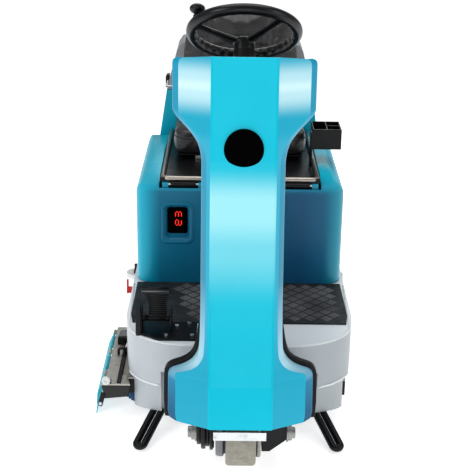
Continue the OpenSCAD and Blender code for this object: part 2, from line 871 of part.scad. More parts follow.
module seat_cushion() {
    color("#17181a") translate([0, 0, 668]) linear_extrude(87)
        round_plan([-seat_half_w, seat_half_w], [seat_front_y, 528], 45);
}

module seat_back_cushion() {
    color("#17181a") translate([0, 478, 765]) rotate([-5.5, 0, 0]) rotate([90, 0, 0])
        translate([0, 0, -76]) linear_extrude(76) union() {
            translate([-203, 0]) square([406, 210]);
            polygon([[-203, 200], [203, 200], [183, 290], [160, 325], [120, 338],
                     [-120, 338], [-160, 325], [-183, 290]]);
        }
}

module cup_holder() {
    bracket_x = [232, 238];
    color("#131415") {
        block([bracket_x[0], 252], [150, 190], [hood_z + hood_t, hood_z + hood_t + 5]);
        block(bracket_x, [150, 190], [hood_z + hood_t + 5, 760]);
        difference() {
            block([bracket_x[1], 333], [150, 260], [704, 772]);
            block([243, 283], [156, 254], [712, 780]);
            block([288, 328], [156, 202], [712, 780]);
            block([288, 328], [207, 254], [712, 780]);
        }
    }
}

// ---- Dash controls, in the dash panel's own axes ----

module on_dash(x, y) {
    column_axes() translate([x, y, -dash_drop]) children();
}

module emergency_stop() {
    color("#c91f26") on_dash(100, -60) {
        translate([0, 0, -14]) cylinder(r = 10.5, h = 26);
        translate([0, 0, 12]) cylinder(r = 19, h = 11);
    }
}

module key_switch() {
    color("#b9bdc1") on_dash(-100, -60) {
        translate([0, 0, -14]) cylinder(r = 10.5, h = 22);
        translate([-2, -8, 8]) cube([4, 16, 22]);
    }
}

module horn_button() {
    color("#2e6f3a") on_dash(100, -110) {
        translate([0, 0, -10]) cylinder(r = 8.5, h = 20);
    }
}

// ---- Scrub deck ----

module deck_plate() {
    color("#a39f98") difference() {
        union() {
            for (y = skirt_ears) y_cyl(5, skirt_hinge[0], [y - 12, y + 12], skirt_hinge[1]);
            for (y = skirt_ears)
                block([skirt_hinge[0], deck_left_x + 4], [y - 12, y + 12], [deck_z, deck_z + 5]);
            block([deck_left_x, deck_right_x], [deck_front_y, deck_rear_y],
                  [deck_z, deck_z + deck_t]);
            both_sides()
                block([arm_x - arm_t - 1, arm_x - 1], [arm_deck_pin[0] - 16, arm_deck_pin[0] + 16],
                      [deck_z + deck_t, arm_deck_pin[1] + 14]);
            block([deck_left_x + 40, deck_left_x + 44], [-350, -20], [deck_z + deck_t, deck_z + 12]);
        }
        for (x = brush_x) z_cyl(14, x, brush_y, [deck_z - 1, deck_z + 10]);
        x_cyl(arm_pin_r + running, [-130, 130], arm_deck_pin[0], arm_deck_pin[1]);
        y_cyl(2.5, skirt_hinge[0], [deck_front_y - 5, deck_rear_y + 5], skirt_hinge[1]);
    }
}

module deck_skirt() {
    wall = 5;
    outer_x = [deck_left_x + 12, deck_right_x];
    color("#131415") translate([0, 0, 70]) linear_extrude(deck_z - 70) difference() {
        translate([outer_x[0], deck_front_y]) square([outer_x[1] - outer_x[0], deck_rear_y - deck_front_y]);
        translate([outer_x[0] + wall, deck_front_y + wall])
            square([outer_x[1] - outer_x[0] - 2 * wall, deck_rear_y - deck_front_y - 2 * wall]);
    }
}

module brush_motors() {
    color("#1d1f22") difference() {
        for (x = brush_x) {
            z_cyl(motor_r, x, brush_y, [deck_z + deck_t, deck_z + 52]);
            z_cyl(28, x, brush_y, [deck_z + 52, deck_z + 60]);
        }
        for (x = brush_x) z_cyl(10 + running, x, brush_y, [deck_z - 1, deck_z + 26]);
    }
}

module deck_arms() {
    length = norm(arm_frame_pin - arm_deck_pin);
    slope = atan2(arm_frame_pin[1] - arm_deck_pin[1], arm_frame_pin[0] - arm_deck_pin[0]);
    color("#3a3d41") both_sides() {
        x_cyl(15, [arm_x, arm_x + arm_t], arm_frame_pin[0], arm_frame_pin[1]);
        x_cyl(15, [arm_x, arm_x + arm_t], arm_deck_pin[0], arm_deck_pin[1]);
        translate([arm_x, arm_deck_pin[0], arm_deck_pin[1]]) rotate([slope, 0, 0])
            translate([0, 0, -9]) cube([arm_t, length, 18]);
        x_cyl(arm_pin_r - running, [arm_x, arm_x + 2 * arm_t + 1], arm_frame_pin[0], arm_frame_pin[1]);
        x_cyl(arm_pin_r, [arm_x - arm_t - 1, arm_x + arm_t], arm_deck_pin[0], arm_deck_pin[1]);
    }
}

module brush(x) {
    color("#20456b") {
        z_cyl(brush_r - 12, x, brush_y, [brush_disc_z, brush_disc_z + 14]);
        z_cyl(10, x, brush_y, [brush_disc_z + 14, deck_z + 20]);
    }
    color("#c9ccd0") translate([x, brush_y, floor_gap]) difference() {
        cylinder(r = brush_r, h = brush_disc_z - floor_gap);
        translate([0, 0, -1]) cylinder(r = 60, h = brush_disc_z);
    }
}

module brush_left() {
    brush(brush_x[0]);
}

module brush_right() {
    brush(brush_x[1]);
}

module side_skirt() {
    skirt_y = [-364, -10];
    holder = [[-412, 114], [-406, 114], [-410, 98], [-425, 60], [-429, 34], [-434, 34],
              [-431, 72], [-417, 100]];
    color("#18b4cc") {
        front_profile(holder, skirt_y);
        front_profile([[-429, 36], [-432, 36], [-437, floor_gap], [-434, floor_gap]], skirt_y);
        for (y = [-257, -112]) {
            y_cyl(5, skirt_hinge[0], [y - 40, y + 40], skirt_hinge[1]);
            block([-412, -406], [y - 40, y + 40], [112, 121]);
        }
        y_cyl(2.5 - running, skirt_hinge[0], [-342, -28], skirt_hinge[1]);
    }
}

// ---- Squeegee ----

module squeegee_arm() {
    color("#3a3d41") difference() {
        union() {
            both_sides() {
                x_cyl(18, [50, 60], squeegee_pin[0], squeegee_pin[1]);
                side_profile([[440, 190], [462, 218], [655, 112], [655, 96], [625, 96]], [50, 60]);
            }
            block([-60, 60], [600, 668], [96, 106]);
            x_cyl(10 - running, [-72, 72], squeegee_pin[0], squeegee_pin[1]);
        }
        z_cyl(9, squeegee_x, squeegee_swing_y, [90, 120]);
    }
}

module squeegee_ring(r, z, half_w) {
    intersection() {
        translate([squeegee_x, squeegee_centre_y, z[0]]) difference() {
            cylinder(r = r[1], h = z[1] - z[0], $fn = 180);
            translate([0, 0, -1]) cylinder(r = r[0], h = z[1] - z[0] + 2, $fn = 180);
        }
        block([squeegee_x - half_w, squeegee_x + half_w], [400, 800], [z[0] - 1, z[1] + 1]);
    }
}

module squeegee() {
    color("#2a2c2e") {
        squeegee_ring([squeegee_r - 16, squeegee_r + 16], [62, 70], squeegee_half_w - 8);
        squeegee_ring([squeegee_r - 16, squeegee_r - 12], [floor_gap, 62], squeegee_half_w - 41);
        squeegee_ring([squeegee_r + 12, squeegee_r + 16], [floor_gap, 62], squeegee_half_w - 41);
        block([squeegee_x - 50, squeegee_x + 50], [620, squeegee_centre_y + squeegee_r - 10],
              [78, 90]);
        block([squeegee_x - 50, squeegee_x + 50], [682, 700], [68, 82]);
        z_cyl(9 - running, squeegee_x, squeegee_swing_y, [88, 114]);
        z_cyl(24, squeegee_x, 700, [68, 140]);
        for (s = [-1, 1])
            z_cyl(roller_pin_r, squeegee_x + s * squeegee_half_w, roller_y, [36, 90]);
        for (s = [-1, 1])
            block([squeegee_x + s * 374 - 20, squeegee_x + s * 374 + 20], [612, 665], [62, 70]);
    }
}

module bumper_roller(s) {
    x = squeegee_x + s * squeegee_half_w;
    color("#f0f1f2") difference() {
        z_cyl(roller_r, x, roller_y, [40, 58]);
        z_cyl(roller_pin_r + running, x, roller_y, [30, 70]);
    }
}

module bumper_roller_left() {
    bumper_roller(-1);
}

module bumper_roller_right() {
    bumper_roller(1);
}

main_frame();
column_frame();
column_tube();
front_cover();
column_back_cover();
dash_panel();
lamp_bezel();
lamp_lens();
chassis_shell();
platform_mat();
body_shell();
display_pocket();
display_module();
recovery_tank();
battery_pack();
vacuum_motor();
guard_loop_left();
guard_loop_right();
pedal_base();
pedal_bolts();
rear_axle();
steering_chain();
hood_hinge_pin();
valve_body();
drive_fork();
drive_gearbox();
fork_front_plate();
large_sprocket();
drive_tyre();
drive_hub();
steering_wheel();
upper_steering_shaft();
steering_knob();
lower_steering_shaft();
small_sprocket();
rear_wheel_left();
rear_wheel_right();
seat_hood();
seat_rails();
cup_holder();
seat_pan();
seat_cushion();
seat_back_cushion();
recovery_lid();
accelerator_pedal();
emergency_stop();
key_switch();
horn_button();
valve_lever();
deck_plate();
deck_skirt();
brush_motors();
deck_arms();
brush_left();
brush_right();
side_skirt();
squeegee_arm();
squeegee();
bumper_roller_left();
bumper_roller_right();
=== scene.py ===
"""Looks for the ride-on scrubber: materials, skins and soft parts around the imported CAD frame."""
import json
import math
import random

import bmesh
import bpy
import numpy as np
from mathutils import Matrix, Vector


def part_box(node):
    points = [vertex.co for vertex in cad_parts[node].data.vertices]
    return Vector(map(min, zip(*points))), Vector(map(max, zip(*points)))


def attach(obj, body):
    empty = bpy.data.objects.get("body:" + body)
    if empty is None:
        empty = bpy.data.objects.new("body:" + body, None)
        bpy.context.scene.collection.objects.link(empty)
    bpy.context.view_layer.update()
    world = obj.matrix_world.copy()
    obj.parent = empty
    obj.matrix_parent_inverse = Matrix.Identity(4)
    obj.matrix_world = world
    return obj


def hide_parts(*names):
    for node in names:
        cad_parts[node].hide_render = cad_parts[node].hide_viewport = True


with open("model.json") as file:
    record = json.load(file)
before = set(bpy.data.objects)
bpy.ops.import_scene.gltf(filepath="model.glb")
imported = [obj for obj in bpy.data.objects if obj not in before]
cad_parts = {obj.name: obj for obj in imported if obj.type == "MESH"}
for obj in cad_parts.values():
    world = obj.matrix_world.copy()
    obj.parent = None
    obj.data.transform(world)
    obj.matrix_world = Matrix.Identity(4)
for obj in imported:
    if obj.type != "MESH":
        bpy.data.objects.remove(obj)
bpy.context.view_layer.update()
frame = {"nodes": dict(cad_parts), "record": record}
NODES = frame["nodes"]
SCENE = bpy.context.scene
MM = 0.001


# -------------------------------- materials

MAT = {}
# Nearly all the values of a noise texture lie between these two
LOW, HIGH = 0.3, 0.7
DIRT = (0.05, 0.045, 0.04)
CYAN = (0.0008, 0.54, 0.70)
# The next two colours paint light on the cover: a pale painted highlight and a deeper teal painted
# shade
HIGHLIGHT_PALE = (0.40, 0.84, 0.90)
SHADE_TEAL = (0.03, 0.43, 0.60)


def dial(node, **values):
    """Sets a node's inputs; an underscore stands for the space in an input's name."""
    for key, v in values.items():
        node.inputs[key.replace("_", " ")].default_value = v
    return node


def add(nt, kind, **values):
    return dial(nt.nodes.new("ShaderNode" + kind), **values)


def new_material(name):
    """Keeps an empty material in MAT; returns its tree, its shader and object coordinates."""
    m = MAT[name] = bpy.data.materials.new(name)
    m.use_nodes = True
    nt = m.node_tree
    nt.nodes.clear()
    bsdf = add(nt, "BsdfPrincipled")
    nt.links.new(bsdf.outputs[0], add(nt, "OutputMaterial").inputs[0])
    return nt, bsdf, add(nt, "TexCoord").outputs["Object"]


def noise(nt, vector, scale, detail=2.0, rough=0.5, distortion=0.0):
    n = add(nt, "TexNoise", Scale=scale, Detail=detail, Roughness=rough, Distortion=distortion)
    nt.links.new(vector, n.inputs["Vector"])
    return n.outputs["Fac"]


def ramp(nt, fac, stops, mode="LINEAR"):
    r = add(nt, "ValToRGB")
    r.color_ramp.interpolation = mode
    els = r.color_ramp.elements
    while len(els) > 1:
        els.remove(els[-1])
    els[0].position, els[0].color = stops[0][0], (*stops[0][1], 1)
    for p, c in stops[1:]:
        els.new(p).color = (*c, 1)
    nt.links.new(fac, r.inputs["Fac"])
    return r.outputs["Color"]


def map_range(nt, value, a, b, lo, hi, smooth=False):
    m = add(nt, "MapRange", From_Min=a, From_Max=b, To_Min=lo, To_Max=hi)
    if smooth:
        m.interpolation_type = "SMOOTHSTEP"
    nt.links.new(value, m.inputs["Value"])
    return m.outputs["Result"]


def mix(nt, fac, a, b):
    m = add(nt, "Mix")
    m.data_type = "RGBA"
    m.clamp_factor = True
    nt.links.new(fac, m.inputs[0])
    for socket, v in ((m.inputs[6], a), (m.inputs[7], b)):
        if isinstance(v, tuple):
            socket.default_value = (*v, 1)
        else:
            nt.links.new(v, socket)
    return m.outputs[2]


def bump(nt, bsdf, height, distance, strength=1.0, under=None):
    b = add(nt, "Bump", Strength=strength, Distance=distance)
    nt.links.new(height, b.inputs["Height"])
    if under is not None:
        nt.links.new(under, b.inputs["Normal"])
    nt.links.new(b.outputs[0], bsdf.inputs["Normal"])
    return b.outputs[0]


def clamp(v):
    return min(1.0, max(0.0, v))


def shade(c, k):
    return tuple(clamp(v * k) for v in c)


def drift(nt, co, scale, detail, a, b):
    """A colour that wanders slowly from a to b."""
    return ramp(nt, noise(nt, co, scale, detail), [(LOW, a), (HIGH, b)])


def greys(nt, fac, stops):
    """A mask that eases from one grey level to the next."""
    return ramp(nt, fac, [(p, (v, v, v)) for p, v in stops], "EASE")


def colour(nt, bsdf, socket):
    nt.links.new(socket, bsdf.inputs["Base Color"])


def polish(nt, bsdf, value, lo, hi):
    """Roughness that follows a noise value."""
    nt.links.new(map_range(nt, value, LOW, HIGH, lo, hi), bsdf.inputs["Roughness"])


def gloss(bsdf, coat=0.0, coat_rough=0.03, spec=0.5, metallic=0.0):
    """The shader inputs that are the same all over."""
    dial(bsdf, Coat_Weight=coat, Coat_Roughness=coat_rough, Specular_IOR_Level=spec,
         Metallic=metallic)


def axis_of(nt, co, axis):
    s = add(nt, "SeparateXYZ")
    nt.links.new(co, s.inputs[0])
    return s.outputs[axis]


def plastic(name, base, rough=0.4, coat=0.0, metallic=0.0, vary=0.07, grain=900, depth=0.00012,
            spec=0.5, coat_rough=0.06, blotch=6.0):
    """A moulded or painted surface: slow colour drift, uneven polish and a fine grain."""
    nt, bsdf, co = new_material(name)
    colour(nt, bsdf, drift(nt, co, blotch, 3.0, shade(base, 1 - vary), shade(base, 1 + vary)))
    polish(nt, bsdf, noise(nt, co, 45, 4.0), rough - 0.04, rough + 0.08)
    bump(nt, bsdf, noise(nt, co, grain, 2.0), depth)
    gloss(bsdf, coat, coat_rough, spec, metallic)


def metal(name, base, rough=0.3, scratch=0.25, dirt=0.25):
    """Bare or plated steel with fine brush lines and a little dirt in its hollows."""
    nt, bsdf, co = new_material(name)
    mapping = add(nt, "Mapping", Scale=(1, 1, 30))
    nt.links.new(co, mapping.inputs["Vector"])
    lines = noise(nt, mapping.outputs[0], 60, 4.0)
    clean = ramp(nt, lines, [(LOW, shade(base, 0.82)), (HIGH, shade(base, 1.1))])
    grime = map_range(nt, noise(nt, co, 38, 5.0, 0.65), 0.52, 0.8, 0.0, dirt, True)
    colour(nt, bsdf, mix(nt, grime, clean, DIRT))
    polish(nt, bsdf, lines, rough - scratch / 3, rough + scratch)
    bump(nt, bsdf, lines, 0.00008)
    gloss(bsdf, metallic=1.0)


def leather(name, base):
    """Soft folds with fine pores over them."""
    nt, bsdf, co = new_material(name)
    cell = add(nt, "TexVoronoi", Scale=420)
    cell.feature = "DISTANCE_TO_EDGE"
    nt.links.new(co, cell.inputs["Vector"])
    pores = map_range(nt, cell.outputs["Distance"], 0.0, 0.12, 0.0, 1.0, True)
    folds = noise(nt, co, 22, 5.0, 0.6, 0.6)
    tone = drift(nt, co, 9, 4.0, shade(base, 0.75), shade(base, 1.5))
    colour(nt, bsdf, mix(nt, map_range(nt, pores, 0, 1, 0.45, 0.0), tone, shade(base, 0.4)))
    polish(nt, bsdf, folds, 0.26, 0.42)
    first = bump(nt, bsdf, folds, 0.0016, 0.35)
    bump(nt, bsdf, pores, 0.00012, 0.7, first)
    gloss(bsdf, 0.25, 0.28)


def cover_paint(name):
    """Gloss cyan cover with painted light: a painted highlight fades in as a pale band across
    the column and the head's side panels, the side facets are painted a deeper teal as shade,
    and the bevelled rim is painted shade, darkest at the foot, with a painted highlight where it
    turns over the shoulder. Heights are in metres."""
    nt, bsdf, co = new_material(name)
    z = axis_of(nt, co, 2)
    part = add(nt, "Attribute")
    part.attribute_name = "facet"
    split = add(nt, "SeparateColor")
    nt.links.new(part.outputs["Color"], split.inputs[0])
    side, rim = split.outputs[0], split.outputs[1]
    # Painted highlight: a pale band across the column's centre, strongest from about 0.75 m to 0.79
    # m
    column = greys(nt, map_range(nt, z, 0.42, 0.90, 0, 1),
                   [(0.0, 0), (0.18, 0.02), (0.5, 0.5), (0.68, 0.95), (0.76, 0.95), (0.96, 0.04),
                    (1.0, 0)])
    centre = mix(nt, column, drift(nt, co, 5, 3.0, shade(CYAN, 0.97), shade(CYAN, 1.03)), HIGHLIGHT_PALE)
    # Painted highlight across the head's side facets, strongest near 1.08 m, over a deeper teal
    # painted shade
    head = greys(nt, map_range(nt, z, 0.95, 1.16, 0, 1),
                 [(0.0, 0), (0.22, 0), (0.52, 0.8), (0.62, 1), (0.74, 0.75), (0.98, 0.05),
                  (1.0, 0)])
    flank = mix(nt, head, SHADE_TEAL, (0.66, 0.90, 0.94))
    # Painted shade: below the head the side facets are a deeper teal than the centre band
    low_facet_shade = ramp(nt, map_range(nt, z, 0.30, 0.62, 0, 1),
               [(0.0, SHADE_TEAL), (0.5, (0.05, 0.48, 0.66)), (1.0, (0.06, 0.46, 0.64))])
    facets = mix(nt, map_range(nt, z, 0.93, 0.97, 0, 1, True), low_facet_shade, flank)
    # The bevelled rim: painted shade, darkest at the foot, with a painted highlight where it turns
    # over the shoulder near 0.35 m
    edge = ramp(nt, map_range(nt, z, 0.19, 1.16, 0, 1),
                [(0.0, (0.012, 0.09, 0.2)), (0.12, (0.03, 0.25, 0.42)), (0.17, (0.5, 0.78, 0.88)),
                 (0.24, (0.35, 0.6, 0.75)), (0.4, (0.05, 0.3, 0.44)), (0.72, (0.03, 0.33, 0.5)),
                 (1.0, (0.012, 0.33, 0.5))])
    colour(nt, bsdf, mix(nt, rim, mix(nt, side, centre, facets), edge))
    polish(nt, bsdf, noise(nt, co, 30, 3.0), 0.30, 0.36)
    bump(nt, bsdf, noise(nt, co, 240, 1.0), 0.00006)
    gloss(bsdf, 0.08, 0.1, 0.18)


def body_paint(name):
    """Rotomoulded body: cyan flanks and top, and painted shade across the flat front, a deeper
    blue that is darkest right of centre and lighter towards both sides.
    """
    nt, bsdf, co = new_material(name)
    x, y, z = (axis_of(nt, co, i) for i in range(3))
    # Painted shade across the front, lighter towards its left and right ends
    across = ramp(nt, map_range(nt, x, -0.335, 0.335, 0, 1),
                  [(0.0, (0.002, 0.46, 0.62)), (0.045, (0.002, 0.40, 0.56)),
                   (0.12, (0.004, 0.17, 0.28)), (0.35, (0.006, 0.15, 0.26)),
                   (0.80, (0.008, 0.095, 0.20)), (0.9, (0.008, 0.13, 0.24)),
                   (0.965, (0.01, 0.26, 0.36)), (1.0, (0.02, 0.30, 0.40))])
    flank = drift(nt, co, 4, 3.0, (0.004, 0.42, 0.56), (0.005, 0.47, 0.62))
    # The painted shade covers the front below its top edge and ahead of the flanks
    front = mix(nt, map_range(nt, z, 0.605, 0.66, 0, 1, True), across, flank)
    colour(nt, bsdf, mix(nt, map_range(nt, y, -0.02, 0.07, 0, 1, True), front, flank))
    polish(nt, bsdf, noise(nt, co, 40, 4.0), 0.32, 0.44)
    bump(nt, bsdf, noise(nt, co, 600, 2.0), 0.00012)
    gloss(bsdf, 0.14, 0.15, 0.28)


def shell_paint(name):
    """Pale grey moulding, with a painted highlight on its upper face and painted shade towards
    its right.
    """
    nt, bsdf, co = new_material(name)
    tone = drift(nt, co, 6, 3.0, (0.48, 0.515, 0.54), (0.52, 0.555, 0.58))
    # Painted shade: a darker grey from x 0.12 m to 0.32 m
    right = mix(nt, map_range(nt, axis_of(nt, co, 0), 0.12, 0.32, 0, 1, True), tone,
                (0.37, 0.40, 0.42))
    # Painted highlight: the upper face at the rim's height is a near-white grey
    top = map_range(nt, axis_of(nt, co, 2), 0.2965, 0.2995, 0, 1)
    colour(nt, bsdf, mix(nt, top, right, (0.82, 0.86, 0.88)))
    polish(nt, bsdf, noise(nt, co, 45, 4.0), 0.38, 0.5)
    bump(nt, bsdf, noise(nt, co, 700, 2.0), 0.0001)
    gloss(bsdf, 0.12, 0.2)


def glow(name, tint, power):
    """A lit surface with a fine flicker."""
    nt, bsdf, co = new_material(name)
    nt.links.new(drift(nt, co, 900, 1.0, shade(tint, 0.7), tint), bsdf.inputs["Emission Color"])
    dial(bsdf, Base_Color=(*shade(tint, 0.3), 1), Emission_Strength=power)


cover_paint("cover_cyan")
body_paint("body_blue")
shell_paint("shell_grey")
# Near-white plastic for the shell's beads, whose lightness paints the highlight along the shell's
# rounded rim and step
plastic("shell_bead_highlight", (0.85, 0.87, 0.88), 0.3, 0.3, vary=0.03, grain=700, depth=0.0001)
plastic("mat_rubber", (0.030, 0.031, 0.032), 0.52, vary=0.45, spec=0.3, grain=500, depth=0.0004,
        blotch=25)
plastic("mat_weave", (0.12, 0.12, 0.122), 0.5, vary=0.4, spec=0.4, grain=500, depth=0.0004,
        blotch=12)
plastic("frame_paint", (0.007, 0.0075, 0.0085), 0.38, 0.05, vary=0.25, spec=0.3, grain=500,
        depth=0.0002)
plastic("black_plastic", (0.006, 0.0063, 0.007), 0.35, 0.06, vary=0.25, spec=0.3, grain=650,
        depth=0.00018)
plastic("wheel_plastic", (0.006, 0.0063, 0.0075), 0.3, 0.15, vary=0.2, spec=0.35, grain=800,
        coat_rough=0.15)
plastic("lamp_black", (0.0004, 0.0004, 0.0005), 0.5, spec=0.02)
plastic("display_red", (0.02, 0.002, 0.002), 0.2, 0.4)
glow("led_red", (1.0, 0.035, 0.02), 1.3)
plastic("lid_grey", (0.30, 0.31, 0.325), 0.42, 0.1, vary=0.08, grain=600)
plastic("battery_case", (0.06, 0.062, 0.066), 0.5, vary=0.2)
metal("steel", (0.62, 0.63, 0.64), 0.26)
metal("lip_metal", (0.46, 0.42, 0.37), 0.3, 0.15)
plastic("motor_grey", (0.20, 0.21, 0.22), 0.45, metallic=0.4, vary=0.15)
metal("bolt_zinc", (0.72, 0.73, 0.74), 0.3, 0.2, 0.35)
metal("chain_steel", (0.22, 0.22, 0.23), 0.42)
metal("brass", (0.62, 0.44, 0.16), 0.3)
plastic("valve_red", (0.62, 0.02, 0.025), 0.38, 0.1)
metal("cast_grey", (0.40, 0.395, 0.38), 0.42, 0.3, 0.5)
plastic("tyre_pu", (0.30, 0.285, 0.24), 0.6, vary=0.16, grain=180, depth=0.0009, blotch=60)
leather("seat_leather", (0.030, 0.029, 0.029))
metal("deck_steel", (0.56, 0.54, 0.50), 0.5, 0.3, 0.35)
plastic("brush_pad", (0.05, 0.16, 0.30), 0.6, vary=0.3, grain=300)
plastic("bristle", (0.03, 0.12, 0.26), 0.5, vary=0.35, grain=400, blotch=90)
plastic("skirt_cyan", (0.02, 0.42, 0.52), 0.5, vary=0.12)
plastic("squeegee_black", (0.016, 0.016, 0.017), 0.45, 0.05, vary=0.3)
plastic("roller_white", (0.80, 0.79, 0.78), 0.45, vary=0.05)
plastic("stop_red", (0.65, 0.012, 0.012), 0.3, 0.3)
plastic("horn_green", (0.02, 0.30, 0.07), 0.35, 0.2)
metal("key_chrome", (0.8, 0.8, 0.8), 0.15, 0.08)


# -------------------------------- mesh tools

def link(name, data):
    ob = bpy.data.objects.new(name, data)
    SCENE.collection.objects.link(ob)
    return ob


def from_points(name, verts, faces):
    me = bpy.data.meshes.new(name)
    me.from_pydata([(v[0] * MM, v[1] * MM, v[2] * MM) for v in verts], [], faces)
    me.update()
    return link(name, me)


def bands(rings, n, wrap=False, first=0):
    """Faces between successive rings of n points; with wrap the last ring meets the first."""
    faces = []
    for j in range(rings if wrap else rings - 1):
        a, b = first + j * n, first + (j + 1) % rings * n
        faces += [[a + i, a + (i + 1) % n, b + (i + 1) % n, b + i] for i in range(n)]
    return faces


def settle(ob):
    """Applies every modifier."""
    deps = bpy.context.evaluated_depsgraph_get()
    me = bpy.data.meshes.new_from_object(ob.evaluated_get(deps))
    ob.modifiers.clear()
    ob.data = me
    return ob


def circle(centre, u, v, r, steps):
    """Points round a circle in the plane of u and v."""
    turns = (2 * math.pi * i / steps for i in range(steps))
    return [centre + (u * math.cos(a) + v * math.sin(a)) * r for a in turns]


def outward(ob, close=False):
    """Turns every face outwards, after filling the holes where asked."""
    bm = bmesh.new()
    bm.from_mesh(ob.data)
    if close:
        bmesh.ops.remove_doubles(bm, verts=bm.verts, dist=1e-6)
        bmesh.ops.holes_fill(bm, edges=[e for e in bm.edges if e.is_boundary], sides=0)
    bmesh.ops.recalc_face_normals(bm, faces=bm.faces)
    bm.to_mesh(ob.data)
    bm.free()
    return ob


def soften(ob, width, segments=3, angle=30):
    """Rounds edges sharper than the angle, and keeps flat faces flat."""
    b = ob.modifiers.new("round", "BEVEL")
    b.width = width * MM
    b.segments = segments
    b.limit_method = "ANGLE"
    b.angle_limit = math.radians(angle)
    b.use_clamp_overlap = True
    b.miter_outer = "MITER_ARC" if width > 3 else "MITER_SHARP"
    for p in ob.data.polygons:
        p.use_smooth = True
    w = ob.modifiers.new("flat", "WEIGHTED_NORMAL")
    w.weight = 60


def piece(ob, material, body, stands_for=(), bevel=None):
    """A finished piece: its material, the body it rides on, and the CAD nodes it stands for."""
    if bevel:
        soften(ob, *bevel)
    ob.data.materials.clear()
    ob.data.materials.append(MAT[material])
    for p in ob.data.polygons:
        p.use_smooth = True
    if stands_for:
        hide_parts(*stands_for)
    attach(ob, body)


def prism(name, outline, axis, lo, hi):
    """A polygon carried along an axis. The outline is in the other two axes, in X Y Z order."""
    def put(p, t):
        return {"x": (t, p[0], p[1]), "y": (p[0], t, p[1]), "z": (p[0], p[1], t)}[axis]
    n = len(outline)
    verts = [put(p, lo) for p in outline] + [put(p, hi) for p in outline]
    faces = [list(range(n)), list(range(2 * n - 1, n - 1, -1))]
    faces += [[i, (i + 1) % n, n + (i + 1) % n, n + i] for i in range(n)]
    return outward(from_points(name, verts, faces))


def round_rect(x, y, r, steps=8):
    """The outline of a rectangle from x[0], y[0] to x[1], y[1] with rounded corners."""
    pts = []
    for cx, cy, a0 in ((x[1] - r, y[1] - r, 0), (x[0] + r, y[1] - r, 90),
                       (x[0] + r, y[0] + r, 180), (x[1] - r, y[0] + r, 270)):
        for i in range(steps + 1):
            a = math.radians(a0 + 90 * i / steps)
            pts.append((cx + r * math.cos(a), cy + r * math.sin(a)))
    return pts


def lathe(name, profile, centre, axis, steps=64, closed=False):
    """A profile of (distance along the axis, radius) turned about an axis through centre."""
    c, axis = Vector(centre), Vector(axis).normalized()
    u = axis.orthogonal().normalized()
    verts = []
    for t, r in profile:
        verts += circle(c + axis * t, u, axis.cross(u), r, steps)
    return outward(from_points(name, verts, bands(len(profile), steps, closed)), not closed)


def fillet(points, r, steps=5, closed=False):
    """Rounds the corners of a polyline; r is one radius, or one for each point."""
    out = []
    n = len(points)
    for i, p in enumerate(points):
        if not closed and i in (0, n - 1):
            out.append(Vector(p))
            continue
        a, b = Vector(points[i - 1]), Vector(points[(i + 1) % n])
        p = Vector(p)
        ri = r[i] if isinstance(r, (list, tuple)) else r
        da, db = a - p, b - p
        k = min(ri, da.length * 0.48, db.length * 0.48)
        if k < 1e-6:
            out.append(p)
            continue
        s, e = p + da.normalized() * k, p + db.normalized() * k
        for j in range(steps + 1):
            t = j / steps
            out.append(s * (1 - t) ** 2 + p * 2 * t * (1 - t) + e * t * t)
    return out


def join(name, obs):
    """One object from several."""
    bm = bmesh.new()
    for o in obs:
        if o.modifiers:
            settle(o)
        bm.from_mesh(o.data)
        bpy.data.objects.remove(o)
    me = bpy.data.meshes.new(name)
    bm.to_mesh(me)
    bm.free()
    return link(name, me)


def tube(name, points, radius, steps=14, closed=False):
    """A round bar along a path."""
    pts = [Vector(p) for p in points]
    n = len(pts)
    verts = []
    up = None
    for i, p in enumerate(pts):
        if closed:
            t = (pts[(i + 1) % n] - pts[i - 1]).normalized()
        else:
            t = (pts[min(i + 1, n - 1)] - pts[max(i - 1, 0)]).normalized()
        up = t.orthogonal().normalized() if up is None else (up - t * up.dot(t)).normalized()
        verts += circle(p, up, t.cross(up), radius, steps)
    faces = bands(n, steps, closed)
    if not closed:
        faces.append(list(range(steps))[::-1])
        faces.append([(n - 1) * steps + k for k in range(steps)])
    return outward(from_points(name, verts, faces))


def hex_bolt(name, at, axis, flat=8.0, head=5.0, washer=8.5):
    """A hexagon head with a chamfer, on a washer; axis points out of the surface."""
    c, ax = Vector(at), Vector(axis).normalized()
    w = lathe(name + "_w", [(0, washer), (1.4, washer), (1.8, washer - 0.5), (1.8, 2)], c, ax, 24)
    verts = []
    u = ax.orthogonal().normalized()
    for t, r in ((1.8, flat * 1.15), (1.8 + head * 0.8, flat * 1.15), (1.8 + head, flat * 0.95)):
        verts += circle(c + ax * t, u, ax.cross(u), r, 6)
    ends = [[5, 4, 3, 2, 1, 0], [12, 13, 14, 15, 16, 17]]
    h = outward(from_points(name + "_h", verts, bands(3, 6) + ends))
    soften(h, 0.5, 2, 20)
    return join(name, [w, h])


def pchip(xs, ys, x):
    """Monotone cubic through the points."""
    xs, ys, x = np.asarray(xs, float), np.asarray(ys, float), np.asarray(x, float)
    h = np.diff(xs)
    d = np.diff(ys) / h
    m = np.zeros(len(xs))
    m[0], m[-1] = d[0], d[-1]
    for i in range(1, len(xs) - 1):
        if d[i - 1] * d[i] > 0:
            w1, w2 = 2 * h[i] + h[i - 1], h[i] + 2 * h[i - 1]
            m[i] = (w1 + w2) / (w1 / d[i - 1] + w2 / d[i])
    i = np.clip(np.searchsorted(xs, x) - 1, 0, len(xs) - 2)
    t = (x - xs[i]) / h[i]
    return ((2 * t ** 3 - 3 * t ** 2 + 1) * ys[i] + (t ** 3 - 2 * t ** 2 + t) * h[i] * m[i]
            + (-2 * t ** 3 + 3 * t ** 2) * ys[i + 1] + (t ** 3 - t ** 2) * h[i] * m[i + 1])


# -------------------------------- camera and lights

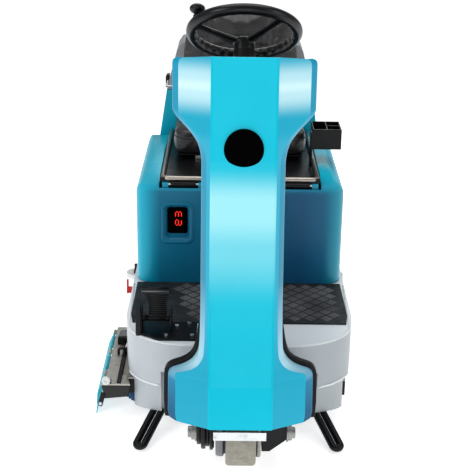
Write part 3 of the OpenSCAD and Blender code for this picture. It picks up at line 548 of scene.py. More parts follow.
# The eye in metres, its turns in degrees, and the lens in millimetres on a 36 mm sensor
EYE, PITCH, YAW, ROLL, LENS = (-0.0439, -3.32, 1.70), 20.65, 0.6267, 0.9001, 82.86


def camera():
    cam = bpy.data.cameras.new("camera")
    cam.sensor_width = 36
    cam.lens = LENS
    cam.clip_start = 0.05
    ob = link("camera", cam)
    pitch, yaw, roll = (math.radians(a) for a in (PITCH, YAW, ROLL))
    fwd = Vector((math.sin(yaw) * math.cos(pitch), math.cos(yaw) * math.cos(pitch),
                  -math.sin(pitch)))
    right = Vector((math.cos(yaw), -math.sin(yaw), 0))
    up = right.cross(fwd)
    r = right * math.cos(roll) + up * math.sin(roll)
    u = up * math.cos(roll) - right * math.sin(roll)
    rot = Matrix((r, u, -fwd)).transposed().to_4x4()
    ob.matrix_world = Matrix.Translation(EYE) @ rot
    SCENE.camera = ob


def area(name, at, to, size, power):
    lamp = bpy.data.lights.new(name, "AREA")
    lamp.shape = "RECTANGLE"
    lamp.size, lamp.size_y = size
    lamp.energy = power
    ob = link(name, lamp)
    ob.location = at
    ob.rotation_euler = (Vector(to) - Vector(at)).to_track_quat("-Z", "Y").to_euler()


def studio():
    """A white backdrop, five soft lamps and a pale floor."""
    world = bpy.data.worlds.new("studio")
    world.use_nodes = True
    nt = world.node_tree
    nt.nodes.clear()
    lit = add(nt, "Background", Color=(0.95, 0.97, 1.0, 1), Strength=0.42)
    seen = add(nt, "Background", Color=(1, 1, 1, 1), Strength=2.2)
    both = add(nt, "MixShader")
    nt.links.new(add(nt, "LightPath").outputs["Is Camera Ray"], both.inputs[0])
    nt.links.new(lit.outputs[0], both.inputs[1])
    nt.links.new(seen.outputs[0], both.inputs[2])
    nt.links.new(both.outputs[0], add(nt, "OutputWorld").inputs[0])
    SCENE.world = world
    area("key_left", (-2.6, -2.2, 2.6), (0, -0.2, 0.6), (1.6, 1.6), 38)
    area("fill_right", (2.8, -1.6, 1.9), (0, 0, 0.6), (1.4, 2.0), 20)
    area("top", (0, 0.2, 3.2), (0, 0, 0.5), (2.4, 2.4), 42)
    area("back", (0.4, 3.2, 2.2), (0, 0, 0.5), (2.0, 1.4), 20)
    area("front", (0.0, -4.4, 1.3), (0, 0, 0.6), (2.6, 1.2), 24)
    SCENE.view_settings.view_transform = "Standard"
    SCENE.view_settings.look = "Medium High Contrast"
    SCENE.view_settings.exposure = -0.42
    floor = from_points("floor", [(-9000, -9000, 0), (9000, -9000, 0), (9000, 9000, 0),
                                  (-9000, 9000, 0)], [[0, 1, 2, 3]])
    nt, bsdf, co = new_material("pale_floor")
    colour(nt, bsdf, drift(nt, co, 0.8, 2.0, (0.93, 0.93, 0.93), (0.95, 0.95, 0.95)))
    dial(bsdf, Specular_IOR_Level=0.0, Roughness=0.9, Emission_Color=(1, 1, 1, 1),
         Emission_Strength=0.75)
    floor.data.materials.append(MAT["pale_floor"])


camera()
studio()


# -------------------------------- CAD nodes that stay

# Edge rounding in millimetres of the CAD nodes that aren't rounded by PLAIN_ROUND
ROUND = {"chassis_shell": 6.0, "body_shell": 2.5, "main_frame": 1.5, "cup_holder": 2.0,
         "seat_hood": 2.0, "recovery_tank": 8.0, "deck_plate": 1.2, "seat_pan": 1.2,
         "dash_panel": 1.6, "recovery_lid": 7.0, "deck_skirt": 1.5, "squeegee": 0.8}
PLAIN_ROUND = 0.9


def dress_cad():
    """Rounds and smooths every CAD node by modifiers and gives it its slot's material."""
    slots = {}
    for part in frame["record"]["subparts"]:
        slots[part["node"]] = part.get("material") or part.get("material_slot")
    for n, ob in NODES.items():
        weld = ob.modifiers.new("weld", "WELD")
        weld.merge_threshold = 2e-5
        flat = ob.modifiers.new("planar", "DECIMATE")
        flat.decimate_type = "DISSOLVE"
        flat.angle_limit = math.radians(0.6)
        soften(ob, ROUND.get(n, PLAIN_ROUND), 3 if n in ROUND else 2, 34)
        ob.data.materials.clear()
        ob.data.materials.append(MAT[slots[n]])


dress_cad()


# -------------------------------- front cover

BAND, BEVEL, FOOT_W, COLUMN_W, HEAD_W = 82, 14, 196, 110, 187
COVER_REAR, FOOT_DEPTH, COLUMN_Z, SHOULDER_Z = -450, 48, 396, 1012
# Height, half width, Y of the centre line, rise of the edge at the sides
COVER_LEVELS = [
    (193, FOOT_W - 4, -785, 10), (216, FOOT_W, -781, 5), (240, FOOT_W, -776, 0),
    (290, FOOT_W, -763, 0), (308, FOOT_W, -758, 0), (318, FOOT_W - 1, -754, 0),
    (324, FOOT_W - 4, -752, 0), (330, 184, -750, 0), (336, 164, -748, 0), (344, 144, -745, 0),
    (358, 126, -740, 0), (382, 114, -732, 0), (425, 111, -718, 0), (520, COLUMN_W, -692, 0),
    (660, COLUMN_W, -660, 0), (780, COLUMN_W, -641, 0), (880, COLUMN_W, -628, 0),
    (905, 113, -625, 0), (930, 121, -622, 0),
    (957, 140, -619, 0), (985, 168, -615, 0), (1000, 181, -613, 0), (1012, HEAD_W, -611, 0),
    (1060, HEAD_W, -606, 0), (1128, HEAD_W, -601, 0), (1144, HEAD_W - 2, -600, -4),
    (1160, HEAD_W - 12, -599, -14)]


def cover_level(column, z):
    """One column of COVER_LEVELS at the heights z."""
    return pchip([l[0] for l in COVER_LEVELS], [l[column] for l in COVER_LEVELS], z)


def cover_row(z, w, y, arch):
    """One level of the cover, from its right rear edge round the front to its left one."""
    def drop(v):
        return 5 + (v - BAND - BEVEL) * 0.3
    shallow = y + drop(FOOT_W) + FOOT_DEPTH
    rear = shallow + (COVER_REAR - shallow) * clamp((z - COLUMN_Z) / 29)
    rear_z = SHOULDER_Z + (z - SHOULDER_Z) * 0.23 if z > SHOULDER_Z else z
    bevel = BEVEL + 8 * clamp((330 - z) / 20) + 3 * clamp((z - 960) / 40)
    half = [(w, rear, rear_z), (w, y + drop(w) + 22, z), (w - bevel, y + drop(w), z),
            (BAND + 5, y + 4, z), (BAND, y, z)]
    half = [Vector((p[0], p[1], p[2] + arch * (p[0] / w) ** 2)) for p in half]
    whole = half + [Vector((-p[0], p[1], p[2])) for p in reversed(half)]
    return fillet(whole, [0, 6, 5, 2, 2, 2, 2, 5, 6, 0], 5)


def front_cover():
    """The cyan skin, its levels closest together where the foot narrows to the column."""
    heights = sorted(set(np.round(np.linspace(COVER_LEVELS[0][0], COVER_LEVELS[-1][0], 170), 2))
                     | {float(z) for z in range(310, 360, 3)})
    rows = [cover_row(*level) for level in zip(heights, *(cover_level(i, heights)
                                                         for i in (1, 2, 3)))]
    n = len(rows[0])
    faces = [[j * n + i, j * n + i + 1, (j + 1) * n + i + 1, (j + 1) * n + i]
             for j in range(len(rows) - 1) for i in range(n - 1)]
    ob = from_points("cover_skin", [p for row in rows for p in row], faces)
    # Which facet each face lies on: R the side facets, G the outer bevel and side wall
    # The cover's paint reads this mask to place its painted shade and highlights on the side facets
    # and the rim
    facet = ob.data.color_attributes.new("facet", "FLOAT_COLOR", "CORNER")
    for f, poly in enumerate(ob.data.polygons):
        i = f % (n - 1)
        i = min(i, n - 2 - i)
        side, rim = (1, 0) if 9 <= i < 16 else (0, 1) if i < 9 else (0, 0)
        for loop in poly.loop_indices:
            facet.data[loop].color = (side, rim, 0, 1)
    shell = ob.modifiers.new("wall", "SOLIDIFY")
    shell.thickness = 4.6 * MM
    shell.use_even_offset = False
    shell.offset = -1.0
    if ob.data.polygons[(n - 1) // 2].normal.y > 0:
        ob.data.flip_normals()
    settle(ob)
    piece(ob, "cover_cyan", "chassis", ["front_cover"], bevel=(1.1, 2, 60))


def cover_shade_liner():
    """The black inner shell that stands proud all round the foot and the shoulder; besides being
    a trim, its black paints the shade in the gap between the cover and the grey shell.
    """
    zs = [198, 240, 290, 312, 320, 325, 329, 333, 338, 345, 355, 368, 385, 410, 440]
    ys = cover_level(2, zs)
    side = [Vector((w, z)) for w, z in zip(cover_level(1, zs), zs)]
    for s, name in ((1, "right"), (-1, "left")):
        verts = []
        for i, p in enumerate(side):
            t = (side[min(i + 1, len(side) - 1)] - side[max(i - 1, 0)]).normalized()
            stand = 11 if zs[i] < 380 else 11 - 7 * (zs[i] - 380) / 60
            out = (p.x + t.y * stand, p.y - t.x * stand)
            back = ys[i] + 90
            verts += [(s * out[0], back - 22, out[1]), (s * out[0], back, out[1]),
                      (s * (p.x - 9), back, p.y - 4), (s * (p.x - 9), back - 22, p.y - 4)]
        last = (len(side) - 1) * 4
        ends = [[0, 1, 2, 3], [last + 3, last + 2, last + 1, last]]
        ob = outward(from_points("cover_shade_liner_" + name, verts, bands(len(side), 4) + ends))
        piece(ob, "black_plastic", "chassis", bevel=(2.5, 3, 40))


def lamp():
    """A dark lens a little taller than it is wide."""
    r, z = 51.5, 922.5
    profile = [(-6, r - 3), (-6, r), (1.0, r), (2.6, r - 1.6), (4.2, r * 0.8), (5.2, r * 0.5),
               (5.6, 0)]
    lens = lathe("lamp_disc", profile, (0, -623.5, z), (0, -1, 0.02), 96)
    lens.data.transform(Matrix.Translation((0, 0, z * MM)) @ Matrix.Diagonal((1, 1, 1.045, 1))
                        @ Matrix.Translation((0, 0, -z * MM)))
    piece(lens, "lamp_black", "chassis", ["lamp_lens", "lamp_bezel"])


front_cover()
cover_shade_liner()
lamp()


# -------------------------------- steering wheel

TILT = math.radians(35)
WHEEL = Vector((0, -343, 1173))
WHEEL_AXIS = Vector((0, math.sin(TILT), math.cos(TILT)))
WHEEL_Y = Vector((0, math.cos(TILT), -math.sin(TILT)))
RIM_R = 144


def on_wheel(angle, r, h=0.0):
    """A point at an angle and radius in the wheel's plane, h along its axis."""
    a = math.radians(angle)
    return WHEEL + Vector((1, 0, 0)) * r * math.cos(a) + WHEEL_Y * r * math.sin(a) + WHEEL_AXIS * h


def steering_wheel():
    """A moulded rim with finger grips on its inside, and three spokes dished to the hub."""
    section, around, steps = 15.0, 240, 28
    verts = []
    for i in range(around):
        a = 360 * i / around
        grip = 0.5 + 0.5 * math.cos(math.radians(a * 30))
        for k in range(steps):
            q = 2 * math.pi * k / steps
            inward = max(0.0, -math.cos(q))
            r = section - 2.4 * grip * inward ** 1.5
            verts.append(on_wheel(a, RIM_R + r * math.cos(q), r * math.sin(q)))
    rim = outward(from_points("rim", verts, bands(around, steps, True)))
    dish = -30
    hub = lathe("hub", [(dish - 34, 24), (dish - 32, 27), (dish - 8, 29), (dish + 4, 30),
                        (dish + 8, 28), (dish + 10, 22), (dish + 11, 0)], WHEEL, WHEEL_AXIS, 48)
    spokes = []
    for a in (-42, -162, 78):
        sections = [(20, 19, 9), (50, 15, 8), (95, 11.5, 7), (122, 13, 7.5), (138, 17, 8)]
        verts = []
        tang = on_wheel(a + 90, 1) - WHEEL
        for r, half, thick in sections:
            verts += circle(on_wheel(a, r, dish * (1 - (r - 20) / 118)), tang * half,
                            WHEEL_AXIS * thick, 1, 12)
        faces = bands(len(sections), 12) + [list(range(12))[::-1], list(range(48, 60))]
        spokes.append(outward(from_points("spoke", verts, faces)))
    ob = join("wheel_rim_and_spokes", [rim, hub] + spokes)
    mesh = ob.modifiers.new("one", "REMESH")
    mesh.mode = "VOXEL"
    mesh.voxel_size = 1.9 * MM
    smooth = ob.modifiers.new("blend", "SMOOTH")
    smooth.factor = 0.5
    smooth.iterations = 5
    settle(ob)
    piece(ob, "wheel_plastic", "steering", ["steering_wheel"])
    stem = lathe("knob_stem", [(4, 11), (16, 11), (19, 8), (34, 7), (34, 0)],
                 on_wheel(-152, RIM_R), WHEEL_AXIS, 28)
    piece(stem, "black_plastic", "steering")
    cap = lathe("wheel_cap", [(dish + 9, 24), (dish + 12.5, 23), (dish + 14.5, 18),
                              (dish + 15.5, 9), (dish + 15.8, 0)], WHEEL, WHEEL_AXIS, 48)
    piece(cap, "black_plastic", "steering")


steering_wheel()


# -------------------------------- display, tray lip

def display():
    """A panel let into the body: a rounded lip, a black window, and two red digits on end."""
    x, z = (-244, -154), (446, 572)
    levels = ((-8, -40.4), (-6.5, -42.6), (2, -42.6), (6, -39), (13, -30), (14, -27))
    verts = []
    for inset, y in levels:
        ring = round_rect((x[0] + inset, x[1] - inset), (z[0] + inset, z[1] - inset),
                          min(20.0, max(8.0, 22 - inset)))
        verts += [(p[0], y, p[1]) for p in ring]
    lip = from_points("display_lip", verts, bands(len(levels), len(ring)))
    wall = lip.modifiers.new("wall", "SOLIDIFY")
    wall.thickness = 2 * MM
    wall.offset = 1 if lip.data.polygons[0].normal.y > 0 else -1
    settle(outward(lip))
    piece(lip, "body_blue", "chassis", ["display_pocket"])
    back = prism("display_back", round_rect((x[0] + 12, x[1] - 12), (z[0] + 12, z[1] - 12), 6),
                 "y", -28, -24)
    piece(back, "body_blue", "chassis", bevel=(0.8, 2))
    pane = round_rect((x[0] + 11, x[1] - 11), (z[0] + 25, z[1] - 11), 10)
    window = prism("display_window", pane, "y", -31, -27)
    piece(window, "lamp_black", "chassis", ["display_module"], bevel=(1.2, 3))
    # Seven-bar digits turned on end: a, g, d lie across them, f, b, e, c along their sides
    lit = {"3": "abgcd", "6": "afgedc"}
    w, h, t = 9.5, 9.0, 1.7
    for row, digit in enumerate("36"):
        cx, cz = -196, 535 - row * 27
        bars = {"a": ((w, -h), (w, h)), "g": ((0, -h), (0, h)), "d": ((-w, -h), (-w, h)),
                "f": ((w, -h), (0, -h)), "b": ((w, h), (0, h)), "e": ((0, -h), (-w, -h)),
                "c": ((0, h), (-w, h))}
        parts = []
        for name in lit[digit]:
            (x0, z0), (x1, z1) = bars[name]
            dx, dz = x1 - x0, z1 - z0
            l = math.hypot(dx, dz)
            ux, uz = dx / l, dz / l
            pts = [(x0 + ux * 1.2, z0 + uz * 1.2), (x0 + ux * 3 - uz * t, z0 + uz * 3 + ux * t),
                   (x1 - ux * 3 - uz * t, z1 - uz * 3 + ux * t), (x1 - ux * 1.2, z1 - uz * 1.2),
                   (x1 - ux * 3 + uz * t, z1 - uz * 3 - ux * t),
                   (x0 + ux * 3 + uz * t, z0 + uz * 3 - ux * t)]
            parts.append(prism("bar", [(cx + p[0], cz + p[1]) for p in pts], "y", -32.2, -30.6))
        piece(join("display_digit_%d" % row, parts), "led_red", "chassis")


def tray_lip():
    """The bright rolled edge along the front of the seat hood."""
    path = [(-246, 560, 652), (-246, -16, 651), (246, -16, 651), (246, 560, 652)]
    bar = tube("hood_lip", fillet(path, [0, 24, 24, 0], 8), 8, 16)
    piece(bar, "lip_metal", "hood")


display()
tray_lip()


# -------------------------------- drive unit

DRIVE = Vector((0, -615, 125))


def drive_unit():
    """The tyre between two plates, the axle nuts, and the gearbox beside it."""
    tyre = lathe("tyre_rubber", [(-38, 92), (-38, 118), (-35, 122.5), (-30, 124.6), (38, 124.6),
                                 (43, 122.5), (46, 118), (46, 92)], DRIVE, (1, 0, 0), 128,
                 closed=True)
    piece(tyre, "tyre_pu", "drive_wheel", ["drive_tyre"])
    left = lathe("disc_left", [(-66, 20), (-66, 93), (-64, 97), (-58, 99), (-47, 99), (-44, 97),
                               (-42, 90), (-42, 20)], DRIVE, (1, 0, 0), 96)
    piece(left, "motor_grey", "drive_wheel", ["drive_hub"], bevel=(0.8, 2, 25))
    right = lathe("disc_right", [(47, 20), (47, 96), (49, 100), (53, 101), (58, 101), (60, 98),
                                 (60, 88), (57, 84), (57, 40), (60, 36), (60, 20)],
                  DRIVE, (1, 0, 0), 96)
    piece(right, "cast_grey", "drive_wheel", bevel=(0.8, 2, 25))
    core = lathe("disc_core", [(-42, 0), (-42, 91.5), (47, 91.5), (47, 0)], DRIVE, (1, 0, 0), 64)
    piece(core, "motor_grey", "drive_wheel")
    for name, x, s in (("left", -119, -1), ("right", 132, 1)):
        stack = lathe("axle_nut_" + name, [(0, 26), (4, 26), (4.8, 25), (5, 22), (14, 22),
                                           (15, 20.5), (15.4, 16), (23, 16), (25, 13.5), (25, 0)],
                      (x, -655, 112), (s, 0, 0), 32)
        piece(stack, "cast_grey", "drive_unit", bevel=(0.7, 2, 25))
    # Ribs and bolt heads on the gearbox housing, which hangs in uneven steps
    lumps = []
    for x0, x1, r, dz in ((-119, -108, 70, 4), (-107, -94, 79, 0), (-93, -84, 74, 2),
                          (-83, -73, 81, -1)):
        lumps.append(lathe("rib", [(x0, 0), (x0, r - 2), (x0 + 2, r), (x1 - 2, r), (x1, r - 2),
                                   (x1, 0)], DRIVE + Vector((0, 0, dz)), (1, 0, 0), 56))
    piece(join("gearbox_ribs", lumps), "black_plastic", "drive_unit", ["drive_gearbox"],
          bevel=(0.8, 2, 30))
    for z in (95, 150):
        bolt = hex_bolt("gearbox_bolt_%d" % z, (-119, -640, z), (-1, 0, 0), 6, 5, 7.5)
        piece(bolt, "bolt_zinc", "drive_unit")


drive_unit()


# -------------------------------- mat

def mat():
    """Rubber mat with a basket weave of raised bars; its end by the pedal is worn smooth."""
    lo, hi = (Vector(v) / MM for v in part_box("platform_mat"))
    pitch, bars, height, diagonal = 34.0, 3, 2.2, 0.7071
    verts, faces = [], []
    for iu in range(-30, 31):
        for iv in range(-30, 31):
            centre = Vector(((iu - iv) * pitch * diagonal, (lo.y + hi.y) / 2
                             + (iu + iv) * pitch * diagonal, hi.z))
            if not (lo.x + 26 < centre.x < hi.x - 26 and lo.y + 22 < centre.y < hi.y - 18):
                continue
            if centre.x < -150 - (centre.y - lo.y) * 0.2:
                continue
            u = Vector((diagonal if (iu + iv) % 2 else -diagonal, diagonal, 0))
            v = Vector((-u.y, u.x, 0))
            for k in range(bars):
                mid = centre + v * (k - (bars - 1) / 2) * 9.6
                n = len(verts)
                for top, shrink in ((-0.5, 0.0), (height * 0.6, 0.4), (height, 1.6)):
                    for su, sv in ((1, 1), (-1, 1), (-1, -1), (1, -1)):
                        p = mid + u * su * (14.5 - shrink) + v * sv * (3.6 - shrink)
                        verts.append((p.x, p.y, p.z + top))
                faces += bands(3, 4, first=n)
                faces += [[n + 8, n + 9, n + 10, n + 11], [n + 3, n + 2, n + 1, n]]
    ob = outward(from_points("mat_weave", verts, faces))
    piece(ob, "mat_weave", "chassis", bevel=(0.5, 1, 20))


mat()


# -------------------------------- chassis beads and seams

# Half width of the shell's straight side, then the centre and radii of its front corner
SHELL_SIDE, CORNER_X, CORNER_Y, CORNER_RX, CORNER_RY = 344, 129, -346, 206, 150


def shell_path(inset, z, back):
    """Half the plan of the chassis shell, from `back` along its right side to the front."""
    half = [Vector((SHELL_SIDE - inset, back, z))] if back > CORNER_Y else []
    for i in range(24, -1, -1):
        a = math.radians(90 * i / 24)
        half.append(Vector((CORNER_X + (CORNER_RX - inset) * math.sin(a),
                            CORNER_Y - (CORNER_RY - inset) * math.cos(a), z)))
    return half


def beads():
    """Rounded lips on the shell's rim and step, in a near-white that paints the highlight along
    the rounded edges, and the white seal under the tank's lid.
    """
    for name, inset, z, r, back, in_x in (("rim", 5.0, 297.5, 4.0, -44, 0),
                                          ("step", 0.5, 158.5, 3.4, -377, 230)):
        for s, side in ((1, "right"), (-1, "left")):
            path = [Vector((s * p.x, p.y, p.z)) for p in shell_path(inset, z, back)
                    if p.y <= back and p.x >= in_x]
            bead = tube("shell_%s_%s" % (name, side), path, r, 12)
            piece(bead, "shell_bead_highlight", "chassis")
    x, y = 266, (592, 766)
    gasket = tube("lid_gasket", fillet([(-x, y[1], 811), (-x, y[0], 811), (x, y[0], 811),
                                        (x, y[1], 811)], [0, 12, 12, 0], 5), 3.0, 10)
    piece(gasket, "roller_white", "chassis")


beads()


# -------------------------------- pedal

PEDAL_FOOT, PEDAL_LEAN = 344, 0.16
PEDAL_AXLE = (-392, 340)


def pedal():
    """A leaning treadle with a folded top edge and ribs, on a tube with two bosses."""
    outline = [(-287, 447), (-205, 447), (-205, 432), (-213, 396), (-216, 344), (-266, 344),
               (-264, 396), (-287, 432)]
    plate = prism("treadle", outline, "y", -5, 1)
    for v in plate.data.vertices:
        v.co.y += -0.400 - (v.co.z - PEDAL_FOOT * MM) * PEDAL_LEAN
    piece(plate, "black_plastic", "pedal", ["accelerator_pedal"], bevel=(1.4, 3, 25))
    # The lower lip bar is grey on the black treadle, a painted highlight line under its folded top
    # edge
    for i, (z, r, material) in enumerate(((446, 3.4, "black_plastic"), (436, 2.4, "motor_grey"))):
        y = -404.5 - (z - PEDAL_FOOT) * PEDAL_LEAN
        bar = tube("treadle_lip_%d" % i, [(-285, y, z), (-207, y, z)], r, 12)
        piece(bar, material, "pedal")
    ribs = []
    for z in range(360, 430, 7):
        half = 24 + max(0, z - 400) * 0.3
        y = -405.5 - (z - PEDAL_FOOT) * PEDAL_LEAN
        ribs.append(tube("rib", [(-242 - half, y, z), (-240 + half, y, z)], 1.5, 8))
    piece(join("treadle_ribs", ribs), "black_plastic", "pedal")
    for x in (-284, -212):
        boss = lathe("pedal_boss_%d" % -x, [(-7, 0), (-7, 10), (-6, 11), (6, 11), (7, 10), (7, 0)],
                     (x, *PEDAL_AXLE), (1, 0, 0), 32)
        piece(boss, "frame_paint", "pedal")
    hub = lathe("pedal_tube", [(-36, 0), (-36, 9), (-35, 10), (35, 10), (36, 9), (36, 0)],
                (-248, *PEDAL_AXLE), (1, 0, 0), 32)
    piece(hub, "frame_paint", "pedal")


pedal()


# -------------------------------- seat

FOAM_PRESSURE, CLOTH_FRAMES = 5.0, 24
# How far from the base, the seam and a groove's line the cover is held, in millimetres
BASE_HELD, SEAM_HELD, GROOVE_HELD, GROOVE_DEPTH = 12, 5, 4.5, 3


def stuffed(name, outline, depth, seam, place, grooves, stands_for):
    """A padded cushion. Its cover is sewn to a welt at the height seam and along the grooves,
    its base is fixed, and the rest is blown out by the foam's pressure."""
    ob = prism(name, outline, "z", 0, depth)
    mesh = ob.modifiers.new("even", "REMESH")
    mesh.mode = "VOXEL"
    mesh.voxel_size = 7 * MM
    mesh.use_smooth_shade = True
    settle(ob)
    hold = ob.vertex_groups.new(name="sewn")
    line = [Vector((p[0], p[1], 0)) for p in outline]
    xs, ys = [q.x for q in line], [q.y for q in line]
    for v in ob.data.vertices:
        p = v.co / MM
        weight = 0.0
        if p.z < BASE_HELD:
            weight = 1.0
        elif abs(p.z - seam) < SEAM_HELD:
            edge = min((Vector((p.x, p.y, 0)) - q).length for q in line)
            side = min(abs(p.x - min(xs)), abs(p.x - max(xs)), abs(p.y - min(ys)),
                       abs(p.y - max(ys)))
            if edge < 12 or side < 6:
                weight = 1.0
        if p.z > depth - 8 and any(g(p.x, p.y) < GROOVE_HELD for g in grooves):
            weight = 0.96
            v.co.z -= GROOVE_DEPTH * MM
        hold.add([v.index], weight, "REPLACE")
    cloth = ob.modifiers.new("cover", "CLOTH")
    c = cloth.settings
    c.quality = 6
    c.mass = 0.25
    c.tension_stiffness = c.compression_stiffness = 12
    c.shear_stiffness = 6
    c.bending_stiffness = 0.6
    c.vertex_group_mass = "sewn"
    c.pin_stiffness = 5
    c.use_pressure = True
    c.uniform_pressure_force = FOAM_PRESSURE
    c.shrink_min = -0.05
    c.effector_weights.gravity = 0
    cloth.collision_settings.use_collision = False
    cloth.point_cache.frame_start, cloth.point_cache.frame_end = 1, CLOTH_FRAMES
    for f in range(1, CLOTH_FRAMES + 1):
        SCENE.frame_set(f)
    settle(ob)
    SCENE.frame_set(1)
    ob.vertex_groups.clear()
    ob.data.transform(place)
    smooth = ob.modifiers.new("relax", "SMOOTH")
    smooth.factor, smooth.iterations = 0.5, 2
    fine = ob.modifiers.new("fine", "SUBSURF")
    fine.levels = fine.render_levels = 1
    settle(ob)
    piece(ob, "seat_leather", "seat", stands_for)
    welt = tube(name + "_welt", [(p[0], p[1], seam) for p in outline], 3.0, 10, True)
    welt.data.transform(place)
    piece(welt, "seat_leather", "seat")


def seat():
    """The cushion and the back, each with its grooves as distances from their lines."""
    ring = round_rect((-219, 219), (-158, 158), 42, 10)
    stuffed("seat_cushion_cover", ring, 72, 52, Matrix.Translation((0, 0.364, 0.669)),
            [lambda x, y: abs(abs(x) - 128 - y * 0.06),
             lambda x, y: abs(y + 92) if abs(x) < 134 else 99], ["seat_cushion"])
    half = [(197, 4), (197, 200), (180, 285), (158, 318), (118, 332)]
    outline = [tuple(p)[:2] for p in fillet([Vector((x, y, 0)) for x, y in half + [
        (-x, y) for x, y in reversed(half)]], [14, 30, 22, 18, 18, 18, 18, 22, 30, 14], 5, True)]
    # Across, up the back, and out of it towards the driver
    a = math.radians(5.5)
    up = Vector((0, math.sin(a), math.cos(a)))
    out = Vector((0, -math.cos(a), math.sin(a)))
    base = Vector((0, 0.478, 0.765)) - out * 0.074
    place = Matrix(((1, up.x, out.x, base.x), (0, up.y, out.y, base.y), (0, up.z, out.z, base.z),
                    (0, 0, 0, 1)))
    stuffed("seat_back_cover", outline, 64, 46, place,
            [lambda x, y: abs(abs(x) - 112), lambda x, y: abs(y - 210) if abs(x) < 116 else 99],
            ["seat_back_cushion"])


seat()


# -------------------------------- scrub deck

BRUSH_Y = -184


def brushes():
    """A stepped block and five rings of splayed tufts for each brush."""
    rng = random.Random(11)
    for name, body, cx in (("left", "brush_l", -213), ("right", "brush_r", 140)):
        disc = lathe("brush_disc_" + name, [(58, 0), (58, 146), (61, 150), (72, 150), (76, 146),
                                            (80, 120), (82, 60), (84, 12), (136, 12), (136, 0)],
                     (cx, BRUSH_Y, 0), (0, 0, 1), 72)
        piece(disc, "brush_pad", body, ["brush_" + name], bevel=(0.8, 2, 30))
        verts, faces = [], []
        for r, count in ((70, 34), (92, 46), (114, 56), (134, 66), (148, 74)):
            for i in range(count):
                a = 2 * math.pi * (i + rng.random() * 0.3) / count
                lean = Vector((rng.uniform(-2, 2), rng.uniform(-2, 2), 0))
                root = Vector((cx + r * math.cos(a), BRUSH_Y + r * math.sin(a), 59))
                tip = root + lean + Vector((math.cos(a), math.sin(a), 0)) * 6
                tip.z = 2.5 + rng.random() * 1.5
                n = len(verts)
                for c, rad in ((root, 3.0), ((root + tip) / 2, 3.3), (tip, 4.4)):
                    verts += circle(c, Vector((1, 0, 0)), Vector((0, 1, 0)), rad, 6)
                faces += bands(3, 6, first=n)
                faces += [list(range(n + 5, n - 1, -1)), list(range(n + 12, n + 18))]
        ob = outward(from_points("bristles_" + name, verts, faces))
        piece(ob, "bristle", body)


# The deck plate's upper face
DECK_TOP = 124


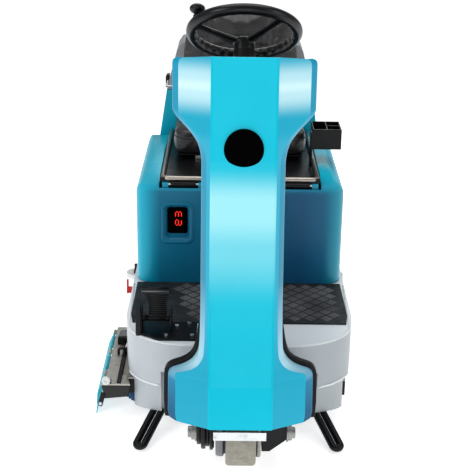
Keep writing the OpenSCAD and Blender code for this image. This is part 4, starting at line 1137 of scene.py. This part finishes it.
def deck_fittings():
    """The deck's front apron, the clamp, pin, hook and knob on its left end, and its bolts."""
    base = DECK_TOP - 1
    apron = prism("deck_apron", [(-413, -411), (-326, -411), (-340, -352), (-402, -352)], "z",
                  DECK_TOP - 2, DECK_TOP + 4)
    piece(apron, "deck_steel", "deck", bevel=(1.2, 2, 25))
    lip = prism("deck_apron_lip", [(-412, DECK_TOP - 2), (-328, DECK_TOP - 2), (-331, 86),
                                   (-404, 78)], "y", -412, -404)
    piece(lip, "squeegee_black", "deck", bevel=(1.5, 3, 25))
    tab = prism("skirt_tab", [(-412, 104), (-401, 92), (-410, 56), (-416, 52), (-423, 57),
                              (-423, 66)], "y", -415, -412)
    piece(tab, "frame_paint", "deck", bevel=(0.8, 2, 25))
    bolt = hex_bolt("skirt_tab_bolt", (-416, -415, 64), (0, -1, 0), 4, 3.5, 5.5)
    piece(bolt, "bolt_zinc", "deck")
    rest = prism("knob_rest", [(-411, 127), (-383, 127), (-383, 138), (-389, 147), (-403, 147),
                               (-411, 138)], "y", -409, -401)
    piece(rest, "frame_paint", "deck", bevel=(1.5, 3, 25))
    knob = lathe("skirt_knob", [(0, 6), (3, 6), (4, 11), (6, 13), (11, 13), (13.5, 10.5), (14, 5),
                                (12.5, 4), (12.5, 0)], (-397, -408, 139), (0, -1, 0.3), 36)
    piece(knob, "roller_white", "deck")
    cap = prism("skirt_clamp", [(-390, -139), (-356, -139), (-350, -103), (-358, -83),
                                (-384, -83)], "z", base, 150)
    piece(cap, "black_plastic", "deck", bevel=(4.0, 3, 30))
    pad = prism("skirt_clamp_pad", [(-385, -132), (-360, -132), (-356, -101), (-381, -93)], "z",
                149, 153)
    piece(pad, "motor_grey", "deck", bevel=(1.5, 2, 30))
    cone = lathe("skirt_pin", [(0, 9), (2, 9), (14, 6), (24, 3.5), (25, 0)], (-356, -168, base),
                 (0.1, -0.2, 1), 28)
    piece(cone, "roller_white", "deck")
    hook = tube("skirt_hook", fillet([(-380, -204, base), (-380, -204, 143), (-360, -208, 146),
                                      (-356, -210, base)], 9, 5), 4.0, 12)
    piece(hook, "frame_paint", "deck")
    strip = prism("deck_strip", [(-367, -405), (-354, -405), (-354, -40), (-367, -40)], "z", base,
                  133)
    piece(strip, "frame_paint", "deck", bevel=(2.0, 3))
    for i, y in enumerate((-340, -250, -160, -70)):
        for name, x in (("deck_bolt_%d", -300), ("deck_bolt_r%d", 300)):
            bolt = hex_bolt(name % i, (x, y, DECK_TOP), (0, 0, 1), 6, 4.5, 8)
            piece(bolt, "bolt_zinc", "deck")


brushes()
deck_fittings()


# -------------------------------- tank and rear wheels

def tank_details():
    """A raised panel and ribs on the tank's rear wall, its drain cap and the lid's latches."""
    face = 793
    panel = prism("tank_panel", round_rect((-215, 215), (400, 740), 34), "y", face - 5, face)
    piece(panel, "body_blue", "chassis", bevel=(2.2, 3, 30))
    for i in range(3):
        rib = prism("tank_rib_%d" % i, round_rect((-185, 185), (470 + i * 90, 486 + i * 90), 7.5),
                    "y", face - 2, face + 3)
        piece(rib, "body_blue", "chassis", bevel=(1.6, 3, 30))
    cap = lathe("drain_cap", [(0, 0), (0, 30), (3, 31), (4, 27), (12, 26), (14, 24), (14.5, 15),
                              (12.5, 13), (12.5, 0)], (225, 781, 368), (0, 1, 0), 48)
    piece(cap, "black_plastic", "chassis")
    for s, name in ((1, "right"), (-1, "left")):
        latch = prism("lid_latch_" + name,
                      [(s * 262, 786), (s * 274, 786), (s * 274, 826), (s * 268, 834),
                       (s * 259, 834)], "y", 676, 706)
        piece(latch, "black_plastic", "chassis", bevel=(1.5, 3, 30))


def wheel_details():
    """Pressed discs with a ring of nuts on the rear wheels."""
    for s, body, name in ((-1, "rear_wheel_l", "left"), (1, "rear_wheel_r", "right")):
        x, y, z = s * 262, 330, 125
        disc = lathe("wheel_disc_" + name, [(30, 0), (30, 20), (38.5, 24), (39.5, 30), (38, 62),
                                            (33, 72), (36, 84), (39.2, 88), (39.2, 93), (30, 94)],
                     (x, y, z), (s, 0, 0), 72)
        piece(disc, "motor_grey", body)
        for i in range(5):
            a = 2 * math.pi * i / 5
            p = (x + s * 38.2, y + 47 * math.cos(a), z + 47 * math.sin(a))
            piece(hex_bolt("wheel_nut_%s_%d" % (name, i), p, (s, 0, 0), 5.5, 4, 7.5),
                  "bolt_zinc", body)


tank_details()
wheel_details()
